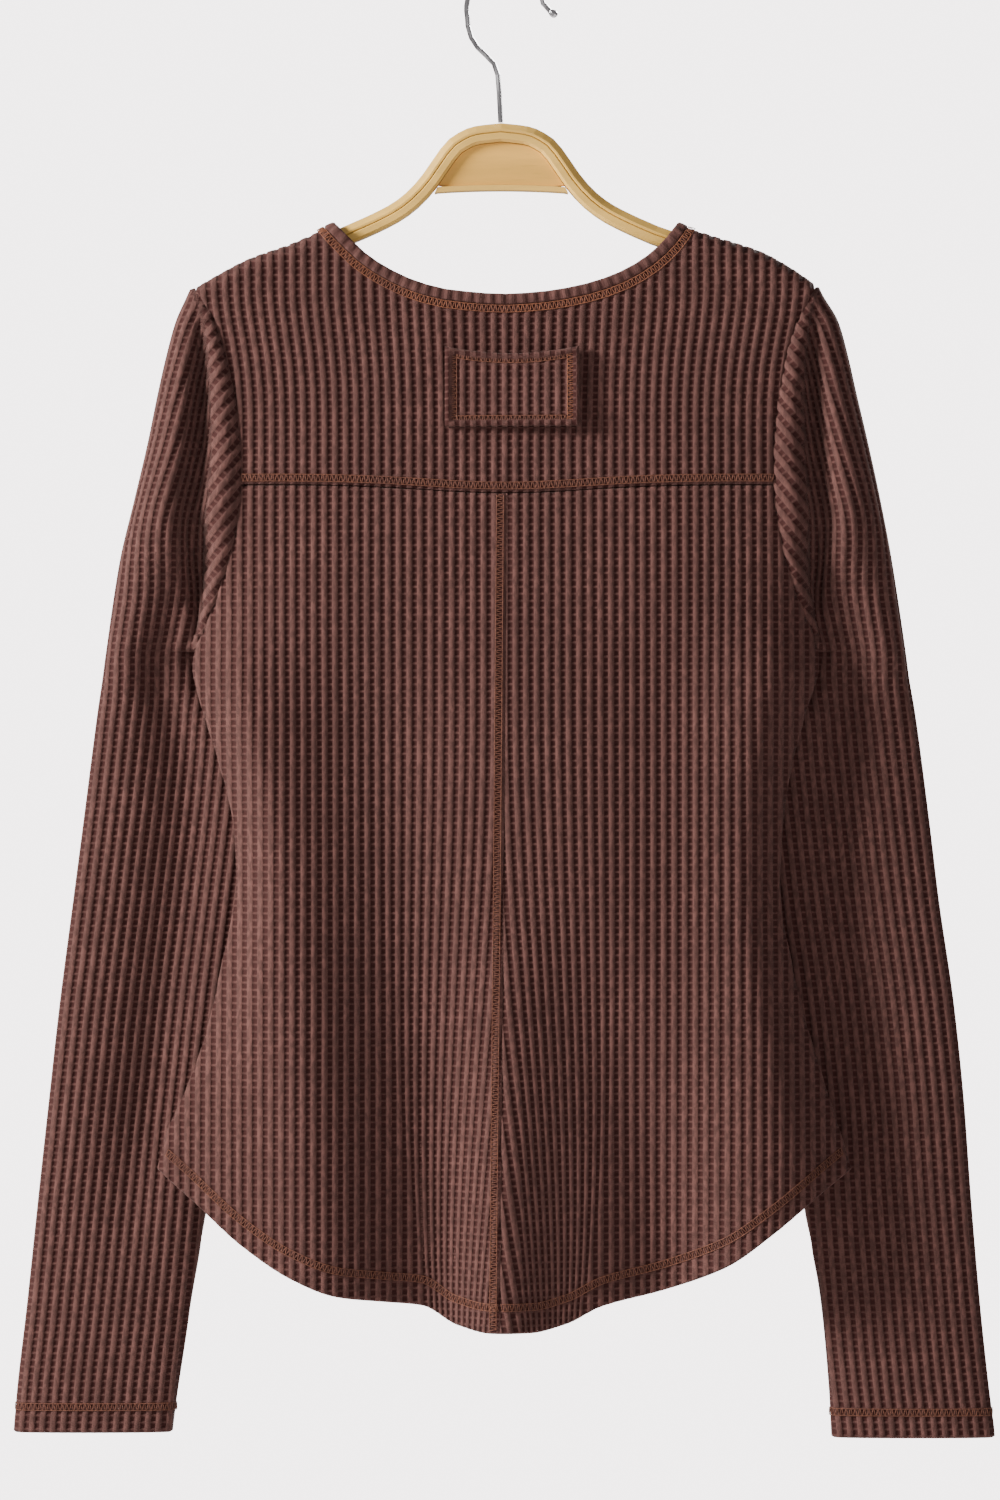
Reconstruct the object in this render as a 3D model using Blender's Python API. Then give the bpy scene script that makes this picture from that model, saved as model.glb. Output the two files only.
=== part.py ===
"""A long-sleeved waffle-knit top on a bentwood hanger, seen from its back.

Metres, +Z up. The origin is the hang point, under the crown of the hook.
+X is the wearer's right, -Y the wearer's back, and +Y the front.
Sizes in this file are millimetres, and "drop" is the distance below the hang point.
"""

import math
from bisect import bisect_right
from collections import namedtuple

import bmesh
import bpy
from mathutils import Vector
from mathutils.geometry import delaunay_2d_cdt

MM = 0.001

# ---------------------------------------------------------------- the knit
WALL = 1.5  # wall between the ribs of the knit
RIB_RISE = 0.6  # how far a rib stands out of the wall
RIB_PITCH = 5.8  # from one rib to the next
SEAM_GAP = 0.3  # between two pieces at a seam
HEM_TURN = 13.0  # height of the turned hems and cuffs
HEM_EXTRA = 0.9  # the second layer inside a turned hem
PLAIN_STRIDE = 4  # the plain inside has every fourth column of the ribbed outside
EDGE_CLEAR = 0.45  # no inner point of a panel lies nearer its edge

# ---------------------------------------------------------------- the body
SHOULDER_ROLL = 7.0  # height over which the cloth rolls over the hanger
SHOULDER_SLOPE = 0.45  # drop of the shoulder line for each mm outwards
SHOULDER_COSINE = math.cos(math.atan(SHOULDER_SLOPE))
NECK_BAND = 6.0  # width of the band round the neck
NECK_STEPS = 26
BAND_WALL = 2.4  # its folded cloth
UNDERARM = 372.0  # drop of the underarm points
LENS_POWER = 3.0  # how squarely the body fills between its edges
LENS_SPREAD = 0.30  # the fullness runs this far on past the armholes, above the underarm
LENS_BLEND = 90.0  # height over which it comes in
FOLD_FADE = 6.0  # folds die out over this part of the way from the centre to an edge
FOLD_START = 5.0  # and start over this part of their length
YOKE_DROP = 282.0  # seam under the yoke, at its ends
YOKE_SAG = 4.5  # how much lower the seam lies at the centre
YOKE_SAG_WIDTH = 62.0
CENTRE_TOP = 0.8  # centre back seam, at the yoke
CENTRE_FOOT = -2.8  # and at the hem
HEM_CENTRE = 745.0
CENTRE_ROWS = (700.0, 640.0, 580.0, 520.0, 460.0, 400.0, 340.0)  # points up the centre seam

Shoulder = namedtuple("Shoulder", "reach left right")
SHOULDERS = (
    Shoulder(94.0, 138.4, 138.2),
    Shoulder(116.0, 148.6, 145.4),
    Shoulder(140.0, 157.2, 153.2),
    Shoulder(155.0, 164.8, 161.2),
    Shoulder(171.6, 174.4, 172.4),
)

# Armhole seam down to the underarm, and the side seam from there to the hem.
BodyEdge = namedtuple("BodyEdge", "drop left right")
BODY_EDGES = (
    BodyEdge(172.4, -171.9, 171.6),
    BodyEdge(183.0, -164.6, 165.4),
    BodyEdge(198.0, -157.1, 158.0),
    BodyEdge(223.0, -150.2, 151.8),
    BodyEdge(248.0, -146.3, 148.5),
    BodyEdge(270.0, -144.2, 147.0),
    BodyEdge(288.0, -144.7, 147.5),
    BodyEdge(305.0, -147.0, 149.6),
    BodyEdge(322.0, -151.0, 153.2),
    BodyEdge(340.0, -157.0, 159.2),
    BodyEdge(356.0, -163.0, 166.0),
    BodyEdge(372.0, -170.6, 172.4),
    BodyEdge(382.0, -172.0, 172.6),
    BodyEdge(402.0, -167.4, 167.0),
    BodyEdge(424.0, -160.6, 160.8),
    BodyEdge(446.0, -154.2, 155.8),
    BodyEdge(470.0, -149.2, 153.0),
    BodyEdge(499.0, -148.0, 151.2),
    BodyEdge(519.0, -150.2, 152.8),
    BodyEdge(540.0, -154.8, 156.8),
    BodyEdge(566.0, -160.2, 162.4),
    BodyEdge(590.0, -166.6, 169.4),
    BodyEdge(615.0, -176.0, 177.2),
    BodyEdge(638.0, -186.2, 184.6),
    BodyEdge(657.0, -191.0, 190.4),
)

# The armhole is cut straight between these drops, on the body and on the sleeve.
ARMHOLE_ROWS = (175.6, 182.0, 193.0, 210.0, 235.0, 262.0, 290.0, 318.0, 342.0, 360.0, 371.0)

NeckPoint = namedtuple("NeckPoint", "x back front")
NECK = (
    NeckPoint(-93.4, 138.4, 138.4),
    NeckPoint(-85.5, 146.4, 150.0),
    NeckPoint(-76.0, 155.4, 170.0),
    NeckPoint(-63.8, 163.4, 192.0),
    NeckPoint(-49.5, 170.0, 209.0),
    NeckPoint(-32.0, 174.8, 221.0),
    NeckPoint(0.0, 177.4, 228.0),
    NeckPoint(22.0, 175.9, 225.5),
    NeckPoint(40.0, 172.8, 217.0),
    NeckPoint(57.0, 167.8, 203.0),
    NeckPoint(73.7, 159.4, 178.0),
    NeckPoint(86.4, 148.8, 154.0),
    NeckPoint(94.6, 138.4, 138.4),
)

HemPoint = namedtuple("HemPoint", "x back front")
HEM = (
    HemPoint(-191.0, 657.0, 657.0),
    HemPoint(-170.0, 675.0, 670.0),
    HemPoint(-143.6, 698.0, 686.0),
    HemPoint(-117.0, 715.0, 699.0),
    HemPoint(-91.0, 725.0, 707.0),
    HemPoint(-65.5, 728.4, 712.0),
    HemPoint(-45.0, 731.0, 715.0),
    HemPoint(-26.4, 741.0, 717.0),
    HemPoint(-8.0, 744.4, 718.0),
    HemPoint(14.0, 744.4, 718.0),
    HemPoint(33.0, 740.3, 717.0),
    HemPoint(52.8, 731.0, 715.0),
    HemPoint(86.4, 723.0, 708.0),
    HemPoint(119.4, 710.0, 697.0),
    HemPoint(146.3, 691.0, 683.0),
    HemPoint(172.7, 670.0, 668.0),
    HemPoint(190.4, 657.0, 657.0),
)

# How far the two sides of the body stand out from the plane of the side seams.
Belly = namedtuple("Belly", "drop back front")
BELLIES = (
    Belly(130.0, 10.8, 10.4),
    Belly(190.0, 11.2, 10.8),
    Belly(250.0, 14.5, 11.5),
    Belly(330.0, 19.0, 13.0),
    Belly(430.0, 19.0, 14.0),
    Belly(520.0, 17.0, 14.0),
    Belly(620.0, 18.0, 14.0),
    Belly(750.0, 20.0, 14.0),
)

# Soft ridges (rise > 0) and troughs (rise < 0), each along a line down the body.
Fold = namedtuple("Fold", "top_x top_drop foot_x foot_drop width_top width_foot rise_top rise_foot")
BACK_FOLDS = (
    Fold(1.0, 470.0, 6.0, 745.0, 26.0, 25.0, 0.0, 13.0),  # centre crest
    Fold(-62.0, 330.0, -45.0, 735.0, 42.0, 26.0, 0.0, -9.0),  # left of the crest
    Fold(50.0, 500.0, 74.0, 730.0, 28.0, 30.0, 0.0, -9.0),  # right of the crest
    Fold(-126.0, 300.0, -98.0, 720.0, 28.0, 30.0, 1.0, 6.5),  # from the left underarm
    Fold(138.0, 290.0, 142.0, 690.0, 34.0, 34.0, 1.0, 5.5),  # from the right underarm
    Fold(-168.0, 600.0, -178.0, 665.0, 14.0, 16.0, 0.0, -4.0),  # beside the left corner
)
FRONT_FOLDS = (
    Fold(-40.0, 330.0, -30.0, 715.0, 40.0, 32.0, 0.0, -5.0),
    Fold(52.0, 380.0, 66.0, 715.0, 36.0, 30.0, 0.0, -4.5),
    Fold(10.0, 480.0, 14.0, 720.0, 30.0, 26.0, 0.0, 4.0),
)

# Levels of the points on each wall.
YOKE_LEVELS = (195.0, 225.0, 255.0, 300.0)
BACK_LEVELS = (270.0, 330.0, 376.0, 424.0, 472.0, 520.0, 568.0, 614.0, 656.0, 700.0, 760.0)
FRONT_LEVELS = (200.0, 250.0, 300.0, 350.0, 400.0, 450.0, 500.0, 550.0, 600.0, 650.0, 690.0, 740.0)
PATCH_LEVELS = (200.0, 220.0, 236.0, 256.0)
ROLL_LEVELS = (-6.0, 0.7, 2.2, 4.8, 9.0)  # measured from the shoulder line

# ---------------------------------------------------------------- the patch
PATCH = (-33.0, 40.6)  # left and right edge
PATCH_TOP = 206.5
PATCH_FOOT = 250.6
PATCH_SAG = 4.0  # its top edge hangs in the middle
PATCH_LIFT = 3.2  # the free right edge stands off the yoke
PATCH_TOP_SHARE = 0.55  # part of the lift that the top edge has

# ---------------------------------------------------------------- the sleeves
SLEEVE_COLUMNS = 48
TIP_CLEAR = 1.65  # the sleeve stands this far off the shoulder's tip
TIP_CLEAR_FOOT = 190.0  # down to this drop
TIP_BLEND = 14.0
TIP_LENGTH = 30.0  # length over which it fills out below the tip
SLEEVE_BLEND = 46.0  # length over which the sleeve turns in behind the body
CUFF_DROP = (803.0, 806.0)  # left and right

# Outer and inner folded edge of each sleeve. Above the underarm the inner one is the armhole.
Sleeve = namedtuple("Sleeve", "drop out_left in_left out_right in_right")
SLEEVES = (
    Sleeve(175.6, -174.2, -170.0, 174.0, 170.0),
    Sleeve(192.0, -180.0, -160.0, 182.2, 160.0),
    Sleeve(210.0, -185.0, -154.0, 187.4, 155.0),
    Sleeve(231.0, -189.8, -148.0, 192.2, 150.0),
    Sleeve(259.0, -195.6, -145.0, 198.8, 147.0),
    Sleeve(290.0, -203.0, -145.0, 205.6, 147.0),
    Sleeve(324.0, -211.2, -152.0, 212.2, 154.0),
    Sleeve(375.0, -219.2, -171.6, 220.2, 173.2),
    Sleeve(388.0, -221.0, -170.0, 222.0, 171.6),
    Sleeve(404.0, -223.4, -158.0, 224.8, 160.0),
    Sleeve(423.0, -226.0, -146.0, 227.6, 148.0),
    Sleeve(469.0, -232.0, -132.0, 233.6, 135.0),
    Sleeve(510.0, -237.4, -135.0, 238.6, 138.0),
    Sleeve(568.0, -245.0, -143.5, 247.0, 147.0),
    Sleeve(620.0, -250.8, -153.0, 252.4, 156.0),
    Sleeve(675.0, -256.8, -164.5, 256.4, 165.5),
    Sleeve(734.0, -263.0, -174.5, 261.4, 175.5),
    Sleeve(781.0, -268.4, -181.5, 266.4, 179.8),
    Sleeve(803.0, -270.2, -184.2, 269.2, 181.2),
    Sleeve(815.0, -271.0, -185.4, 270.0, 181.8),
)
SleeveDepth = namedtuple("SleeveDepth", "drop outer inner half")
SLEEVE_DEPTHS = (
    SleeveDepth(170.0, 0.0, 0.0, 1.0),
    SleeveDepth(230.0, 1.0, 0.0, 6.0),
    SleeveDepth(300.0, 4.0, 0.0, 9.0),
    SleeveDepth(346.0, 7.2, 0.2, 9.7),
    SleeveDepth(371.0, 9.0, 3.5, 10.0),
    SleeveDepth(375.0, 9.4, 4.6, 9.8),
    SleeveDepth(388.0, 10.5, 9.6, 9.4),
    SleeveDepth(404.0, 11.5, 13.5, 9.0),
    SleeveDepth(440.0, 13.0, 15.5, 8.2),
    SleeveDepth(560.0, 14.5, 17.0, 7.8),
    SleeveDepth(700.0, 14.0, 16.0, 7.4),
    SleeveDepth(815.0, 13.0, 14.0, 7.0),
)
# The deep fold beside the armhole seam, as a share of the way from seam to outer edge.
VALLEY_AT = 0.37
VALLEY_WIDTH = 0.13
VALLEY_DEPTH = 12.0
VALLEY_TOP = 182.0
VALLEY_FOOT = 356.0
VALLEY_START = 60.0
VALLEY_END = 70.0
VALLEY_FRONT = 0.35  # the front layer follows this part of it
# The raised strip between the seam and the valley.
STRIP_AT = 0.14
STRIP_WIDTH = 0.10
STRIP_RISE = 2.0
# Just above the underarm only the edge beside the seam is pulled to the body's wall.
PULL_TOP = 342.0
PULL_BLEND = 28.0
PULL_WIDTH = 0.12
# Powers that shape a sleeve's section: beside the armhole, and below the underarm.
SHARE_POWER = 1.6
BULGE_POWER_TOP = 1.1
BULGE_POWER_FOOT = 0.62
SLEEVE_LEVELS = (375.0, 388.0, 406.0, 445.0, 520.0, 620.0, 710.0)

# ---------------------------------------------------------------- the hanger
HANGER_X = -2.0
BAND_TALL = 5.0  # each of the two laminations
BAND_DEEP = 12.0
BAND_CORNER = 3.6  # rounding of its long edges on top
GLUED_CORNER = 0.5  # between the two laminations
FOOT_CORNER = 1.4  # underneath
RAIL_TALL = 2.8
RAIL_DROP = 118.6
RAIL_REACH = 40.5
RAIL_ARCH = 1.6
RAIL_STEPS = 14
RAIL_DEEP = 10.0
PANEL_DEEP = 6.0
ARM_CLEAR = 2.3  # from the cloth down to the arms
Bow = namedtuple("Bow", "reach drop")
BOW = (
    Bow(0.0, 82.8),
    Bow(15.0, 84.6),
    Bow(27.5, 90.6),
    Bow(34.0, 97.6),
    Bow(38.8, 104.6),
    Bow(44.6, 112.8),
    Bow(52.0, 120.8),
    Bow(60.0, 126.9),
    Bow(72.0, 133.2),
    Bow(86.0, 139.4),
)
BOW_STEPS = 18
ARM_REACH = 147.0
ARM_STEPS = 5
ARM_SETTLE = 26.0  # length over which an arm comes up to the cloth

WIRE = 2.8
HOOK_RADIUS = 21.2  # of the wire's centre line
HOOK_CENTRE = (0.0, 19.8)  # x and drop
CROWN_STEPS = 22
CROWN_TURN = (8.0, 192.0)  # degrees, from the tip's side over the top
HookPoint = namedtuple("HookPoint", "x drop girth")
HOOK_SHANK = (
    HookPoint(-20.4, 29.0, 1.0),
    HookPoint(-18.6, 35.4, 1.0),
    HookPoint(-15.0, 41.0, 1.0),
    HookPoint(-10.2, 45.6, 1.0),
    HookPoint(-6.0, 50.0, 1.0),
    HookPoint(-4.0, 56.0, 1.0),
    HookPoint(-3.2, 66.0, 1.0),
    HookPoint(-2.4, 82.2, 1.0),
)
HOOK_TIP = (
    HookPoint(28.6, 23.6, 0.5),
    HookPoint(28.2, 23.3, 1.25),
    HookPoint(27.2, 22.7, 1.6),
    HookPoint(26.0, 22.0, 1.5),
    HookPoint(24.8, 21.0, 1.0),
    HookPoint(22.6, 18.4, 1.0),
)

KNIT_BROWN = (0.165, 0.086, 0.066)
PALE_WOOD = (0.78, 0.58, 0.35)
PANEL_WOOD = (0.66, 0.43, 0.20)
CHROME = (0.78, 0.78, 0.80)


# ------------------------------------------------------------------ curves
def curve(rows, key, value):
    """A smooth curve through two named columns of a table, straight beyond its ends."""
    xs = [getattr(row, key) for row in rows]
    ys = [getattr(row, value) for row in rows]
    steps = [(ys[i + 1] - ys[i]) / (xs[i + 1] - xs[i]) for i in range(len(xs) - 1)]
    slopes = [steps[0]]
    for before, after in zip(steps, steps[1:]):
        together = before * after > 0
        slopes.append(2 * before * after / (before + after) if together else 0.0)
    slopes.append(steps[-1])

    def at(x):
        if x <= xs[0]:
            return ys[0] + (x - xs[0]) * slopes[0]
        if x >= xs[-1]:
            return ys[-1] + (x - xs[-1]) * slopes[-1]
        i = bisect_right(xs, x) - 1
        width = xs[i + 1] - xs[i]
        t = (x - xs[i]) / width
        rest = 1 - t
        start = rest * rest * ((1 + 2 * t) * ys[i] + t * width * slopes[i])
        end = t * t * ((3 - 2 * t) * ys[i + 1] - rest * width * slopes[i + 1])
        return start + end

    return at


def ease(t):
    """0 to 1, flat at both ends."""
    t = min(max(t, 0.0), 1.0)
    return t * t * (3 - 2 * t)


def mix(a, b, t):
    return a + (b - a) * t


def body_edge(value):
    """Edge of the body over the drop, with the armhole in straight cuts."""
    line = curve(BODY_EDGES, "drop", value)

    def at(drop):
        if not ARMHOLE_ROWS[0] < drop < ARMHOLE_ROWS[-1]:
            return line(drop)
        i = bisect_right(ARMHOLE_ROWS, drop)
        above, below = ARMHOLE_ROWS[i - 1], ARMHOLE_ROWS[i]
        return mix(line(above), line(below), (drop - above) / (below - above))

    return at


edge_left = body_edge("left")
edge_right = body_edge("right")
shoulder_left = curve(SHOULDERS, "reach", "left")
shoulder_right = curve(SHOULDERS, "reach", "right")
belly_back = curve(BELLIES, "drop", "back")
belly_front = curve(BELLIES, "drop", "front")
hem_back = curve(HEM, "x", "back")
hem_front = curve(HEM, "x", "front")


def shoulder_drop(x):
    """Drop of the shoulder line, carried on in a straight line over the neck."""
    first = SHOULDERS[0]
    line = shoulder_left if x < 0 else shoulder_right
    start = first.left if x < 0 else first.right
    if abs(x) < first.reach:
        return start - (first.reach - abs(x)) * SHOULDER_SLOPE
    return line(abs(x))


def yoke_seam(x):
    return YOKE_DROP + YOKE_SAG * math.exp(-((x / YOKE_SAG_WIDTH) ** 2))


def centre_seam(drop):
    return mix(CENTRE_TOP, CENTRE_FOOT, (drop - YOKE_DROP) / (HEM_CENTRE - YOKE_DROP))


# ---------------------------------------------------------- the body's form
def fold_rise(folds, x, drop):
    total = 0.0
    for fold in folds:
        along = (drop - fold.top_drop) / (fold.foot_drop - fold.top_drop)
        if along <= 0:
            continue
        along = ease(along) if along < 1 else 1.0
        centre = mix(fold.top_x, fold.foot_x, along)
        width = mix(fold.width_top, fold.width_foot, along)
        rise = mix(fold.rise_top, fold.rise_foot, along) * ease(along * FOLD_START)
        total += rise * math.exp(-(((x - centre) / width) ** 2))
    return total


def stand_off(x, drop, belly, folds):
    """Distance of a body wall's middle from the plane of the side seams."""
    left, right = edge_left(drop), edge_right(drop)
    above = ease((UNDERARM - drop) / LENS_BLEND)
    half = (right - left) / 2 * (1 + LENS_SPREAD * above)
    off_centre = min(abs(x - (left + right) / 2) / half, 1.0)
    fullness = 1 - off_centre**LENS_POWER
    near_edge = ease((1 - off_centre) * FOLD_FADE)
    stand = WALL / 2 + belly(drop) * fullness + fold_rise(folds, x, drop) * near_edge
    below = max(drop - shoulder_drop(x), 0.0) * SHOULDER_COSINE
    unrolled = 1 - min(below / SHOULDER_ROLL, 1.0)
    return SEAM_GAP / 2 + stand * math.sqrt(max(1 - unrolled * unrolled, 0.0))


def back_y(x, drop):
    return -stand_off(x, drop, belly_back, BACK_FOLDS)


def front_y(x, drop):
    return stand_off(x, drop, belly_front, FRONT_FOLDS)


def place_on(surface, outward):
    """Point and outward normal of a body wall's middle, from x and drop."""

    def place(x, drop):
        step = 0.4
        across = (surface(x + step, drop) - surface(x - step, drop)) / (2 * step)
        low, high = drop + step, max(drop - step, shoulder_drop(x))
        down = (surface(x, low) - surface(x, high)) / (low - high)
        normal = Vector((-across, 1.0, down)) * outward
        return Vector((x, surface(x, drop), -drop)), normal.normalized()

    return place


on_back = place_on(back_y, -1)
on_front = place_on(front_y, 1)


def rib(x):
    """1 on a rib of the knit and 0 in the groove between two."""
    phase = (x / RIB_PITCH) % 1.0
    return abs(2 * phase - 1)


# ------------------------------------------------------------------ outlines
def neck_line(side, offset):
    """The neck edge moved outwards by offset, from the left shoulder to the right."""
    line = curve(NECK, "x", side)
    first, last = NECK[0].x, NECK[-1].x
    step = 0.6
    points = []
    for i in range(NECK_STEPS + 1):
        turn = math.pi * i / NECK_STEPS
        x = mix(first, last, (1 - math.cos(turn)) / 2)
        low, high = max(x - step, first), min(x + step, last)
        slope = (line(high) - line(low)) / (high - low)
        outward = Vector((-slope, 1.0)).normalized()
        # at the shoulder the band follows the shoulder line
        at_end = 1 - min(i, NECK_STEPS - i) / 3
        if at_end > 0:
            sideways = -1 if i < NECK_STEPS / 2 else 1
            along = Vector((sideways, SHOULDER_SLOPE)).normalized()
            outward = outward.lerp(along, at_end).normalized()
        point = Vector((x, line(x))) + outward * offset
        points.append((point.x, max(point.y, shoulder_drop(point.x))))
    return points


def shoulder_run(start, end, steps=6):
    """Points along the shoulder line between two x, both left out."""
    for i in range(1, steps):
        x = mix(start, end, i / steps)
        yield x, shoulder_drop(x)


def edge_run(edge, start, end, step=16.0):
    """Points down an armhole or side seam between two drops, both kept."""
    drops = [start] + [row for row in ARMHOLE_ROWS if start + 1 < row < end - 1]
    side_start = max(start, ARMHOLE_ROWS[-1])
    if end > side_start:
        count = max(2, round((end - side_start) / step))
        drops += [mix(side_start, end, i / count) for i in range(1, count)]
    return [(edge(drop), drop) for drop in drops + [end]]


def seam_run(line, start, end, step=12.0):
    """Points along a line over x between two x, both left out."""
    count = max(2, round(abs(end - start) / step))
    for i in range(1, count):
        x = mix(start, end, i / count)
        yield x, line(x)


def top_outline(side):
    """Neck and shoulders, from the left shoulder tip to the right one."""
    neck = neck_line(side, NECK_BAND + SEAM_GAP)
    left_tip, right_tip = -SHOULDERS[-1].reach, SHOULDERS[-1].reach
    points = [(left_tip, shoulder_drop(left_tip))]
    points += shoulder_run(left_tip, neck[0][0])
    points += neck
    points += shoulder_run(neck[-1][0], right_tip)
    points.append((right_tip, shoulder_drop(right_tip)))
    return points


def yoke_outline():
    right_end, left_end = edge_right(YOKE_DROP), edge_left(YOKE_DROP)
    points = top_outline("back")
    points += edge_run(edge_right, ARMHOLE_ROWS[0], yoke_seam(right_end))
    points += seam_run(yoke_seam, right_end, left_end)
    points += edge_run(edge_left, ARMHOLE_ROWS[0], yoke_seam(left_end))[::-1]
    return points


def under_yoke(x):
    return yoke_seam(x) + SEAM_GAP


def back_half_outline(sign):
    """Lower back panel: sign -1 is the left one in the view of the back, +1 the right one."""
    edge = edge_left if sign < 0 else edge_right
    corner = HEM[0] if sign < 0 else HEM[-1]
    top = under_yoke(edge(YOKE_DROP))
    half_gap = sign * SEAM_GAP / 2
    centre_top = centre_seam(YOKE_DROP) + half_gap
    centre_foot = centre_seam(HEM_CENTRE) + half_gap
    points = edge_run(edge, top, corner.back)
    points += seam_run(hem_back, corner.x, centre_foot)
    points.append((centre_foot, hem_back(centre_foot)))
    points += [(centre_seam(drop) + half_gap, drop) for drop in CENTRE_ROWS]
    points.append((centre_top, under_yoke(centre_top)))
    points += seam_run(under_yoke, centre_top, edge(YOKE_DROP))
    return points


def front_outline():
    left, right = HEM[0], HEM[-1]
    points = top_outline("front")
    points += edge_run(edge_right, ARMHOLE_ROWS[0], right.front)
    points += seam_run(hem_front, right.x, left.x)
    points += edge_run(edge_left, ARMHOLE_ROWS[0], left.front)[::-1]
    return points


# ------------------------------------------------------------------ walls
def edge_distance(point, outline):
    """Shortest distance from a point to a closed outline, in the flat."""
    here = Vector(point)
    best = math.inf
    for a, b in zip(outline, outline[1:] + outline[:1]):
        start, way = Vector(a), Vector(b) - Vector(a)
        t = min(max((here - start).dot(way) / max(way.length_squared, 1e-9), 0.0), 1.0)
        best = min(best, (here - start - way * t).length)
    return best


def cut_cloth(outline, columns, rows_at):
    """Triangles of a cut piece, with points along each column of the knit.

    Returns flat points, triangles and the directed edges of the cut line.
    """
    if turns_back(outline):
        outline = outline[::-1]
    points = [Vector(p) for p in outline]
    lines = []
    for x in columns:
        before = None
        for drop in rows_at(x):
            if before is not None and edge_distance((x, drop), outline) < EDGE_CLEAR:
                continue
            points.append(Vector((x, drop)))
            if before is not None:
                lines.append((before, len(points) - 1))
            before = len(points) - 1
    face = list(range(len(outline)))
    flat, _, faces, _, _, origin = delaunay_2d_cdt(points, lines, [face], 0, 1e-4)
    inside = [f for f, source in zip(faces, origin) if source]
    return [tuple(p) for p in flat], inside, open_edges(inside)


def turns_back(outline):
    """True where x and drop turn from drop towards x along the outline."""
    turns = zip(outline, outline[1:] + outline[:1])
    return sum(a[0] * b[1] - b[0] * a[1] for a, b in turns) < 0


def open_edges(faces):
    """Edges that only one face has, in that face's direction."""
    seen = set()
    for face in faces:
        seen.update(zip(face, face[1:] + face[:1]))
    return [(a, b) for a, b in seen if (b, a) not in seen]


def loop_from(edges):
    follow = dict(edges)
    start = min(follow)
    loop, here = [start], follow[start]
    while here != start:
        loop.append(here)
        here = follow[here]
    return loop


def inner_cloth(outline, columns, rows_at):
    """The plain inside of a cut piece, on the cut line of its outside."""
    points = [Vector(p) for p in outline]
    for x in columns:
        for drop in rows_at(x):
            if is_inside((x, drop), outline) and edge_distance((x, drop), outline) > EDGE_CLEAR:
                points.append(Vector((x, drop)))
    face = list(range(len(outline)))
    flat, _, faces, _, _, origin = delaunay_2d_cdt(points, [], [face], 0, 1e-4)
    inside = [f for f, source in zip(faces, origin) if source]
    return [tuple(p) for p in flat], inside


def is_inside(point, outline):
    x, y = point
    hits = 0
    for (ax, ay), (bx, by) in zip(outline, outline[1:] + outline[:1]):
        if (ay > y) != (by > y) and x < ax + (y - ay) / (by - ay) * (bx - ax):
            hits += 1
    return hits % 2 == 1


def panel(name, outline, place, rows_at, outer, inner, stride=1):
    """A wall over a flat outline. outer and inner give the offsets from its middle."""
    half_pitch = RIB_PITCH / 2
    first, last = (round(end([p[0] for p in outline]) / half_pitch) for end in (min, max))
    columns = [k * half_pitch for k in range(first, last + 1) if k % stride == 0]
    flat, faces, rim = cut_cloth(outline, columns, rows_at)
    loop = loop_from(rim)
    loop_points = [flat[i] for i in loop]
    plain_columns = [k * half_pitch for k in range(first, last + 1) if k % PLAIN_STRIDE == 0]
    inner_flat, inner_faces = inner_cloth(loop_points, plain_columns, rows_at)

    mesh = bmesh.new()

    def vertex(x, drop, offset):
        point, normal = place(x, drop)
        return mesh.verts.new((point + normal * offset) * MM)

    outside = {i: vertex(*flat[i], outer(*flat[i])) for i in sorted({i for f in faces for i in f})}
    inside = [vertex(x, drop, -inner(x, drop)) for x, drop in inner_flat]
    for face in faces:
        mesh.faces.new([outside[i] for i in face])
    for face in inner_faces:
        mesh.faces.new([inside[i] for i in reversed(face)])
    count = len(loop)
    for i in range(count):
        j = (i + 1) % count
        mesh.faces.new((outside[loop[j]], outside[loop[i]], inside[i], inside[j]))
    return finish_mesh(name, mesh, KNIT_BROWN)


def finish_mesh(name, mesh, colour, roughness=0.9, metallic=0.0, sharp=40.0):
    bmesh.ops.recalc_face_normals(mesh, faces=mesh.faces)
    data = bpy.data.meshes.new(name)
    mesh.to_mesh(data)
    mesh.free()
    data.shade_smooth()
    data.set_sharp_from_angle(angle=math.radians(sharp))
    thing = bpy.data.objects.new(name, data)
    bpy.context.scene.collection.objects.link(thing)
    thing.data.materials.append(finish(name, colour, roughness, metallic))
    return thing


def finish(name, colour, roughness, metallic):
    material = bpy.data.materials.new(name + "_finish")
    material.use_nodes = True
    shader = material.node_tree.nodes["Principled BSDF"]
    shader.inputs["Base Color"].default_value = (*colour, 1.0)
    shader.inputs["Roughness"].default_value = roughness
    shader.inputs["Metallic"].default_value = metallic
    return material


# ------------------------------------------------------------------ the body
def ribbed(x, drop):
    return WALL / 2 + RIB_RISE * rib(x)


def plain(x, drop):
    return WALL / 2


def turned(hem, surface):
    """Inner offset of a panel whose hem is turned up inside, as far as the sides leave room."""

    def offset(x, drop):
        near = ease((drop - hem(x) + HEM_TURN + 3) / 3)
        room = abs(surface(x, drop)) - SEAM_GAP / 2 - WALL / 2
        return WALL / 2 + min(HEM_EXTRA * near, room * 0.8)

    return offset


def shoulder_rows(levels):
    """Rows close under the shoulder line, where the cloth rolls over, then at the levels."""

    def rows_at(x):
        line = shoulder_drop(x)
        rows = [line + level for level in ROLL_LEVELS]
        return rows + [level for level in levels if level > rows[-1] + SHOULDER_ROLL]

    return rows_at


def level_rows(levels):
    return lambda x: levels


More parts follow.
